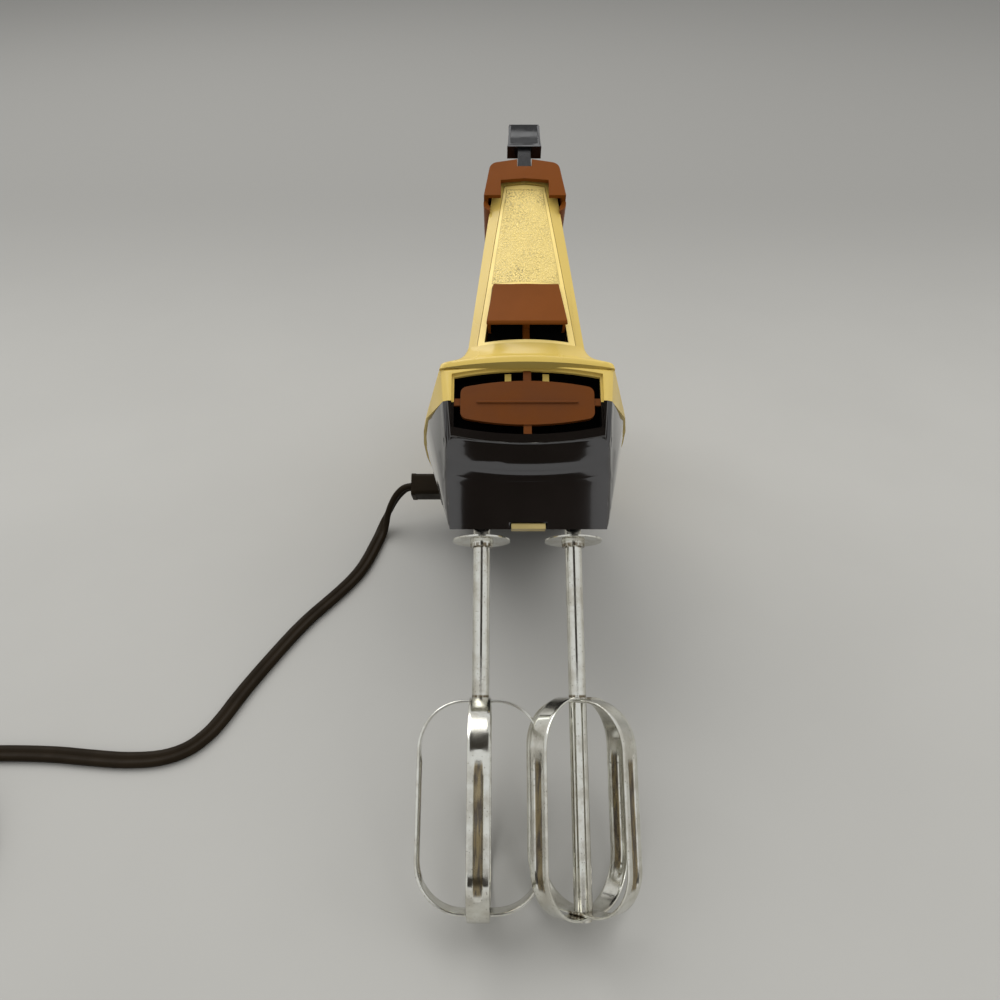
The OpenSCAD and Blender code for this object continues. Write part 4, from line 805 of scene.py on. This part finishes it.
def round_front(bm):
    """Crowns the lower shell's forehead and chin, rounds their corners and bows their upper edge."""
    bmesh.ops.triangulate(bm, faces=near_front(bm, 8))
    cut(bm, near_front(bm, 8), (0, 0, FRONT_TOP), (0, 0, 1))
    tree = BVHTree.FromBMesh(bm)

    def side_at(y, z):
        """How far out the body's side stands at a depth and height."""
        lowest = FOOT_Z + (y - NOSE_Y) * BASE_RISE
        return tree.ray_cast((60, y, max(lowest, z)), (-1, 0, 0))[0].x

    cut_front(bm)
    for vert in bm.verts:
        x, y, z = vert.co
        if z > FRONT_TOP + 0.01 or y > FRONT_BACK or z < -1:
            continue
        face = along_table(z, FRONT, 1)
        depth = y - face
        near, far = (side_at(face + back, z) for back in PROBES)
        lean = math.atan((far - near) / (PROBES[1] - PROBES[0]))
        corner = near - PROBES[0] * math.tan(lean)
        within = (corner + depth * math.tan(lean) - abs(x)) * math.cos(lean)
        inside = min(depth, within)
        if inside < -SLACK or inside > WALL + SLACK:
            continue
        # turn the corner round a middle that touches both the face and the leaning side
        radius = CORNER_R + CORNER_R_MORE * ease((36.3 - z) / 6) * ease((z + 1) / 9)
        reach = radius * math.tan((math.pi / 2 - lean) / 2)
        middle = (corner - reach, face + radius)
        out = (abs(x) - middle[0], y - middle[1])
        if out[0] > 0 and out[0] * math.sin(lean) + out[1] * math.cos(lean) < 0:
            share = (radius - max(0, inside)) / math.hypot(*out)
            share = 1 + (share - 1) * ease((FRONT_TOP - z) / 1.5)
            vert.co.x = math.copysign(middle[0] + out[0] * share, x)
            y = vert.co.y = middle[1] + out[1] * share
        moved = vert.co.y - (face + depth)
        fade = ease((-6 - y) / 5)
        if depth < WALL + SLACK:
            vert.co.y += (along_table(z, FRONT, 2) - face) * fade
        crown = CROWN * min(1, (x / 30) ** 4) * ease((FRONT_TOP - z) / 3) * fade
        vert.co.y += crown
        # the chin's rim follows the underside's slope, and the rest is bowed
        if z < 1 + (face + depth - NOSE_Y) * BASE_RISE + CHIN_REACH:
            vert.co.z += (moved + crown) * BASE_RISE
        else:
            vert.co.z += (BOW_SPAN * min(1, abs(x) / 29) ** 2 - BOW_DOWN) * ease((z - 9) / 20) * fade


# ---- Nose opening and post

# The opening: width, height, bulge of its top and foot, and height of its middle
OPENING_W, OPENING_H, OPENING_BULGE, OPENING_Z = 58.0, 26.9, 3.0, 52.05
# A black sheet inside the nose opening, as painted shade: its gap inside the outline, its thickness, and how
# far behind the nose it begins and how deep it reaches
SHADE_SHEET_GAP, SHADE_SHEET_T = 0.12, 0.35
SHADE_SHEET_FROM, SHADE_SHEET_DEPTH = 3.0, 5.6
BADGE_FACE = -12.7  # depth behind which the badge's parts are the vent's, painted black as shade
CREST_Z, POST_Y = 68.4, -15.0  # where the post stands on the nose
POST_LEAN = math.tan(math.radians(4))
POST_ROUND = 60.0  # radius of the post's face
# The ejector's window in the post, whose inside gets painted shade: half width, depth behind the face and
# height
WELL_HALF, WELL_DEPTH, WELL_HEIGHT = 17, (0.6, 12), (10.5, 38)
# The flare at the post's foot: height, half width, how proud of the nose it stands, how far its middle
# rises, and how much of the post's roundness its face has
FLARE = [(65.6, 35.0, 0.3, 2.9, 0.0), (66.2, 34.8, 0.4, 3.2, 0.0), (66.9, 34.6, 0.45, 3.5, 0.0),
         (67.5, 34.3, 0.42, 3.6, 0.0), (67.9, 33.9, 0.25, 3.5, 0.02), (68.3, 33.0, 0.1, 3.3, 0.05),
         (68.9, 30.4, 0.0, 2.9, 0.12), (70.0, 28.2, -0.1, 2.3, 0.26), (71.4, 26.8, 0, 1.6, 0.42),
         (73.2, 25.7, 0, 0.9, 0.60), (75.2, 25.0, 0, 0.3, 0.80), (76.9, 24.4, 0, 0, 0.95),
         (78.0, 24.1, 0, 0, 1.0)]
FLARE_STEPS = 40
FLARE_STEP_OUT = 0.95  # the nose's face before the post's
FLARE_LIFT = 0.06  # of the flare off the post
FLARE_WALL = 1.4
FLARE_BACK = 6.0  # depth at which its legs end, inside the housing


def on_post(point):
    """Depth behind the post's face and height above its foot, for a point of the upright mixer."""
    y, z = point.y - POST_Y, point.z - CREST_Z
    lean = math.atan(POST_LEAN)
    return y * math.cos(lean) - z * math.sin(lean), y * math.sin(lean) + z * math.cos(lean)


def paint_well_shade(bm):
    """Marks the inside of the ejector's window to be black, as painted shade."""
    for face in bm.faces:
        middle = face.calc_center_median()
        depth, height = on_post(middle)
        if (abs(middle.x) < WELL_HALF and WELL_DEPTH[0] < depth < WELL_DEPTH[1]
                and WELL_HEIGHT[0] < height < WELL_HEIGHT[1]):
            face.material_index = 1


def at_badge_corner(point):
    """Whether a point lies at a corner of the badge's barrel shape."""
    return 25.5 < abs(point.x) < 27 and 3.5 < abs(point.z - 51.65) < 10 and point.y < -12


def round_badge(bm):
    """Rounds the badge plate's four corners, and marks the vent's ribs behind it to be black, as painted
    shade.
    """
    corners = [e for e in bm.edges if abs(e.verts[0].co.y - e.verts[1].co.y) > 1.5
               and all(at_badge_corner(v.co) for v in e.verts)]
    bmesh.ops.bevel(bm, geom=corners, offset=2.2, segments=5, profile=0.5, material=-1, affect="EDGES")
    # the vent's ribs behind the badge get painted shade black
    for face in bm.faces:
        if face.calc_center_median().y > BADGE_FACE:
            face.material_index = 1


def barrel_outline(bm, y, gap):
    """The nose opening's outline at depth y and that far inside it, as a closed line of edges."""
    w, h = OPENING_W / 2 - gap, OPENING_H / 2 - gap
    r = (w * w + OPENING_BULGE ** 2) / (2 * OPENING_BULGE)
    verts = []
    for side in (1, -1):
        for step in range(17):
            x = side * w * (1 - step / 8)
            verts.append(bm.verts.new((x, y, OPENING_Z + side * (h - r + math.sqrt(r * r - x * x)))))
    return [bm.edges.new((a, b)) for a, b in zip(verts, verts[1:] + verts[:1])]


def flare_front(z, half, proud, rise, round_share):
    """The flare's front at one height, from side to side."""
    points = []
    corner = 1.6 if z > 68.5 else 0.6
    for step in range(FLARE_STEPS + 1):
        x = half * math.sin(math.pi * (step / FLARE_STEPS - 0.5))
        y = POST_Y - FLARE_STEP_OUT * (1 - round_share) + max(0, z - CREST_Z) * POST_LEAN
        y += round_share * (POST_ROUND - math.sqrt(POST_ROUND ** 2 - x * x)) - FLARE_LIFT
        y -= proud * ease((half - abs(x)) / 1.5)
        past = abs(x) - (half - corner)
        if past > 0:
            y += corner - math.sqrt(max(0, corner ** 2 - past * past))
        points.append((x, y, z + rise * (1 - (x / 34.4) ** 2)))
    return points


class MIXER_OT_housing(bpy.types.Operator):
    """Rounds and smooths the two housing shells, the badge plate and the panel"""
    bl_idname = "mixer.housing"
    bl_label = "Housing"

    def execute(self, context):
        edge = context.scene.mixer_sizes.moulding_edge / MM
        # The upper shell's ejector window is painted black as shade
        skin("Upper_housing", "upper_shell", edge, reshape=paint_well_shade, inside="painted_shade_black")
        skin("Lower_housing", "lower_shell", edge, reshape=round_front)
        # The badge plate's brown is darkened as painted shade, and the vent's ribs behind it are painted
        # black as shade
        skin("Badge_plate", "grille_badge", 0.3, finish="badge_brown_shaded", reshape=round_badge,
             inside="painted_shade_black")
        skin("Handle_panel", "handle_panel", 0.25, reshape=lower_head)
        return {"FINISHED"}


class MIXER_OT_opening(bpy.types.Operator):
    """Puts a black sheet in the nose opening behind its rim, as painted shade"""
    bl_idname = "mixer.opening"
    bl_label = "Opening's painted shade"

    def execute(self, context):
        bm = bmesh.new()
        edges = barrel_outline(bm, NOSE_Y + SHADE_SHEET_FROM, SHADE_SHEET_GAP)
        deeper = bmesh.ops.extrude_edge_only(bm, edges=edges)["geom"]
        moved = [v for v in deeper if isinstance(v, bmesh.types.BMVert)]
        bmesh.ops.translate(bm, verts=moved, vec=(0, SHADE_SHEET_DEPTH, 0))
        bmesh.ops.contextual_create(bm, geom=[e for e in deeper if isinstance(e, bmesh.types.BMEdge)
                                              and all(v in moved for v in e.verts)])
        bmesh.ops.recalc_face_normals(bm, faces=bm.faces)
        bmesh.ops.solidify(bm, geom=bm.faces, thickness=-SHADE_SHEET_T)
        bmesh.ops.recalc_face_normals(bm, faces=bm.faces)
        lay_down(bm)
        smooth(bm, SOFT)
        new_piece("Vent_shade_sheet", bm, "housing", "black_plastic", finish="painted_shade_black")
        return {"FINISHED"}


class MIXER_OT_flare(bpy.types.Operator):
    """Flares the foot of the post out to the nose's crest"""
    bl_idname = "mixer.flare"
    bl_label = "Post's flare"

    def execute(self, context):
        bm = bmesh.new()
        before = None
        for row in FLARE:
            z, half = row[:2]
            front = flare_front(*row)
            behind = [(x * (half - FLARE_WALL) / half, y + FLARE_WALL, up) for x, y, up in reversed(front)]
            verts = [bm.verts.new(p) for p in (
                *front, (half, FLARE_BACK, z), (half - FLARE_WALL, FLARE_BACK, z),
                *behind, (FLARE_WALL - half, FLARE_BACK, z), (-half, FLARE_BACK, z))]
            edges = [bm.edges.new((a, b)) for a, b in zip(verts, verts[1:] + verts[:1])]
            if before:
                bmesh.ops.bridge_loops(bm, edges=before + edges)
            else:
                bm.faces.new(verts)
            before = edges
        bmesh.ops.contextual_create(bm, geom=before)
        bmesh.ops.recalc_face_normals(bm, faces=bm.faces)
        lay_down(bm)
        smooth(bm, SOFT)
        new_piece("Post_flare", bm, "housing", "gold_enamel")
        return {"FINISHED"}


# ---- Grip and controls

CAP_DROP, HEAD_DROP = 1.8, 0.7  # how far the grip's cap and the panel's head come down in front
HOOD_PROUD, HOOD_FALL = 6.0, 5.4  # how proud the hood's foot stands, and how much less its top
HOOD_FOOT, HOOD_H = 14.7, 22.4
HOOD_RIB, HOOD_HALF = 1.6, 14.8  # half widths of its rib and of the hollow
DISH_RIM, DISH_DEPTH = 0.9, 0.55
DISH_CUTS = 7  # on each side of its middle


def lower_cap(bm, drop=CAP_DROP):
    """Brings the front of the grip's cap a little down."""
    for vert in bm.verts:
        vert.co.z -= drop * ease((vert.co.z - 150) / 9) * ease((-2 - vert.co.y) / 6)


def lower_head(bm):
    """Brings the panel's head a little down under the cap."""
    lower_cap(bm, HEAD_DROP)


def paint_throat_shade(bm):
    """Marks the ejector's hollow, behind its lip and between its legs and rib, to be black, as painted shade.
    """
    for face in bm.faces:
        middle = face.calc_center_median()
        depth, height = on_post(middle)
        roof = HOOD_FALL * max(0, height - HOOD_FOOT) / HOOD_H - HOOD_PROUD
        if HOOD_RIB < abs(middle.x) < HOOD_HALF and depth > roof + 1.1:
            face.material_index = 1


def dish_knob(bm):
    """Hollows the knob's face into a shallow dish."""
    bm.normal_update()
    front = max((f for f in bm.faces if f.normal.y < -0.9), key=lambda f: f.calc_area())
    middle, normal = front.calc_center_median(), front.normal.copy()
    across = Vector((1, 0, 0))
    up = across.cross(normal)
    bmesh.ops.inset_region(bm, faces=[front], thickness=DISH_RIM, depth=0, use_even_offset=True)
    half = [max(abs((v.co - middle).dot(way)) for v in front.verts) for way in (across, up)]

    def in_dish(point):
        off = point - middle
        return abs(off.dot(across)) < half[0] + 1e-3 and abs(off.dot(up)) < half[1] + 1e-3

    for step in range(-DISH_CUTS, DISH_CUTS + 1):
        for way, reach in ((across, half[0]), (up, half[1])):
            faces = [f for f in bm.faces if f.normal.dot(normal) > 0.999
                     and all(in_dish(v.co) for v in f.verts)]
            cut(bm, faces, middle + way * reach * step / (DISH_CUTS + 0.5), way)
    for vert in bm.verts:
        off = vert.co - middle
        a, b = off.dot(across) / half[0], off.dot(up) / half[1]
        if abs(a) < 1 and abs(b) < 1 and abs(off.dot(normal)) < 0.01:
            vert.co -= normal * DISH_DEPTH * (1 - a * a) * (1 - b * b)


class MIXER_OT_controls(bpy.types.Operator):
    """Rounds the grip, the ejector with its spring, and the speed lever"""
    bl_idname = "mixer.controls"
    bl_label = "Grip and controls"

    def execute(self, context):
        for side in ("left", "right"):
            skin("Grip_%s_half" % side, "grip_" + side, 0.6, reshape=lower_cap)
        # The ejector's hollow is painted black as shade
        skin("Ejector_hood", "ejector_button", 0.4, reshape=paint_throat_shade, inside="painted_shade_black")
        spring = skin("Ejector_coil_spring", "ejector_spring", 0.05)
        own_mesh(spring)
        skin("Lever_stem", "speed_lever", 0.3)
        skin("Lever_paddle", "lever_knob", 0.45, finish="knob_black", reshape=dish_knob)
        return {"FINISHED"}


# ---- Beaters

LOOP_W, LOOP_H, LOOP_R, TIP_Z = 45.5, 73.0, 18.0, -133.0
STRIP_T = 1.0
# Half of the strip's outline: across and inwards from its outer face
STRIP = [(0, 0), (0.7, 0), (1.25, 0), (1.75, 0), (2.6, 0), (3.45, 0), (3.78, 0.12), (3.9, 0.38)]
BEND_STEPS, SIDE_STEPS, END_STEPS = 14, 16, 4
# The channel pressed into each side: its foot and head, half width and depth, and how soon it is full
CHANNEL_Z, CHANNEL_HALF, CHANNEL_DEPTH = (-27, 18), 1.8, 0.55
CHANNEL_END, CHANNEL_BANK = 3.5, 0.6


def swept(bm, ring, steps, turn=0.0, centre=(0, 0, 0), move=(0, 0, 0)):
    """Sweeps a ring of edges on by a straight move or a turn about Y, and gives its new end."""
    made = bmesh.ops.spin(bm, geom=ring, cent=centre, axis=(0, 1, 0), dvec=Vector(move) / steps, angle=turn,
                          steps=steps, use_merge=False, use_normal_flip=False, use_duplicate=False)
    return [e for e in made["geom_last"] if isinstance(e, (bmesh.types.BMVert, bmesh.types.BMEdge))]


def loop_mesh(nest):
    """One loop of flat strip with a channel pressed along each straight side."""
    bm = bmesh.new()
    channel = bm.verts.layers.float.new("channel")
    height, radius = LOOP_H / 2 - nest, LOOP_R - nest
    half = [*STRIP, *[(a, STRIP_T - d) for a, d in reversed(STRIP)]]
    outline = half + [(-a, d) for a, d in reversed(half) if a > 0]
    verts = [bm.verts.new((0, a, -height + d)) for a, d in outline]
    ring = verts + [bm.edges.new((a, b)) for a, b in zip(verts, verts[1:] + verts[:1])]
    flat, side = LOOP_W / 2 - radius, 2 * height - 2 * radius
    # each straight run and its steps, and the bend that follows it: its middle's side and end
    for move, steps, x, end in (((flat, 0, 0), END_STEPS // 2, flat, -1), ((0, 0, side), SIDE_STEPS, flat, 1),
                                ((-2 * flat, 0, 0), END_STEPS, -flat, 1),
                                ((0, 0, -side), SIDE_STEPS, -flat, -1)):
        ring = swept(bm, ring, steps, move=move)
        ring = swept(bm, ring, BEND_STEPS, -math.pi / 2, (x, 0, end * (height - radius)))
    swept(bm, ring, END_STEPS // 2, move=(flat, 0, 0))
    bmesh.ops.remove_doubles(bm, verts=bm.verts, dist=1e-3)
    for vert in bm.verts:
        x, y, z = vert.co
        reach = (ease((CHANNEL_Z[1] - z) / CHANNEL_END) * ease((z - CHANNEL_Z[0]) / CHANNEL_END)
                 * ease((abs(x) - 12) / 2))
        press = reach * ease((CHANNEL_HALF - abs(y)) / CHANNEL_BANK)
        vert[channel] = press
        if abs(z) < side / 2:
            inwards = Vector((-math.copysign(1, x), 0, 0))
        else:
            inwards = Vector((math.copysign(flat, x) - x, 0, math.copysign(side / 2, z) - z)).normalized()
        vert.co += inwards * CHANNEL_DEPTH * press
    bmesh.ops.recalc_face_normals(bm, faces=bm.faces)
    return bm


class MIXER_OT_beaters(bpy.types.Operator):
    """Makes the beaters' plated loops, splash discs and stems"""
    bl_idname = "mixer.beaters"
    bl_label = "Beaters"

    def execute(self, context):
        for side, x, turn in (("left", -STEM_X, 90), ("right", STEM_X, 45)):
            body = "beater_" + side
            for which, nest, more in (("outer", 0, 0), ("inner", STRIP_T, 90)):
                part = "%s_loop_%s" % (body, which)
                bm = loop_mesh(nest)
                bmesh.ops.rotate(bm, verts=bm.verts, matrix=Matrix.Rotation(math.radians(turn + more), 3,
                                                                            "Z"))
                bmesh.ops.translate(bm, verts=bm.verts, vec=(x, 0, TIP_Z + LOOP_H / 2))
                lay_down(bm)
                smooth(bm, SOFT)
                new_piece("Loop_%s_%s" % (side, which), bm, body, SLOTS[part], replaced=[part])
            skin("Stem_" + side, body + "_shaft", 0.2)
            skin("Splash_disc_" + side, body + "_disc", 0.15)
        return {"FINISHED"}


# ---- Add-on

OPERATORS = (MIXER_OT_stage, MIXER_OT_finishes, MIXER_OT_cord, MIXER_OT_housing, MIXER_OT_opening,
             MIXER_OT_flare, MIXER_OT_controls, MIXER_OT_beaters)


class MIXER_PT_panel(bpy.types.Panel):
    """Lists the mixer's colours and sizes, and the steps that make it"""
    bl_idname = "MIXER_PT_panel"
    bl_label = "Hand mixer"
    bl_space_type = "VIEW_3D"
    bl_region_type = "UI"
    bl_category = "Mixer"

    def draw(self, context):
        for settings in (context.scene.mixer_colours, context.scene.mixer_sizes):
            for key in type(settings).__annotations__:
                self.layout.prop(settings, key)
        for made in OPERATORS:
            self.layout.operator(made.bl_idname)


CLASSES = (MixerColours, MixerSizes, *OPERATORS, MIXER_PT_panel)


def register():
    for made in CLASSES:
        bpy.utils.register_class(made)
    bpy.types.Scene.mixer_colours = bpy.props.PointerProperty(type=MixerColours)
    bpy.types.Scene.mixer_sizes = bpy.props.PointerProperty(type=MixerSizes)


def unregister():
    del bpy.types.Scene.mixer_sizes
    del bpy.types.Scene.mixer_colours
    for made in reversed(CLASSES):
        bpy.utils.unregister_class(made)


def main():
    register()
    bpy.ops.mixer.stage()
    bpy.ops.mixer.finishes()
    bpy.ops.mixer.cord()
    bpy.ops.mixer.housing()
    bpy.ops.mixer.opening()
    bpy.ops.mixer.flare()
    bpy.ops.mixer.controls()
    bpy.ops.mixer.beaters()


if __name__ == "__main__":
    main()
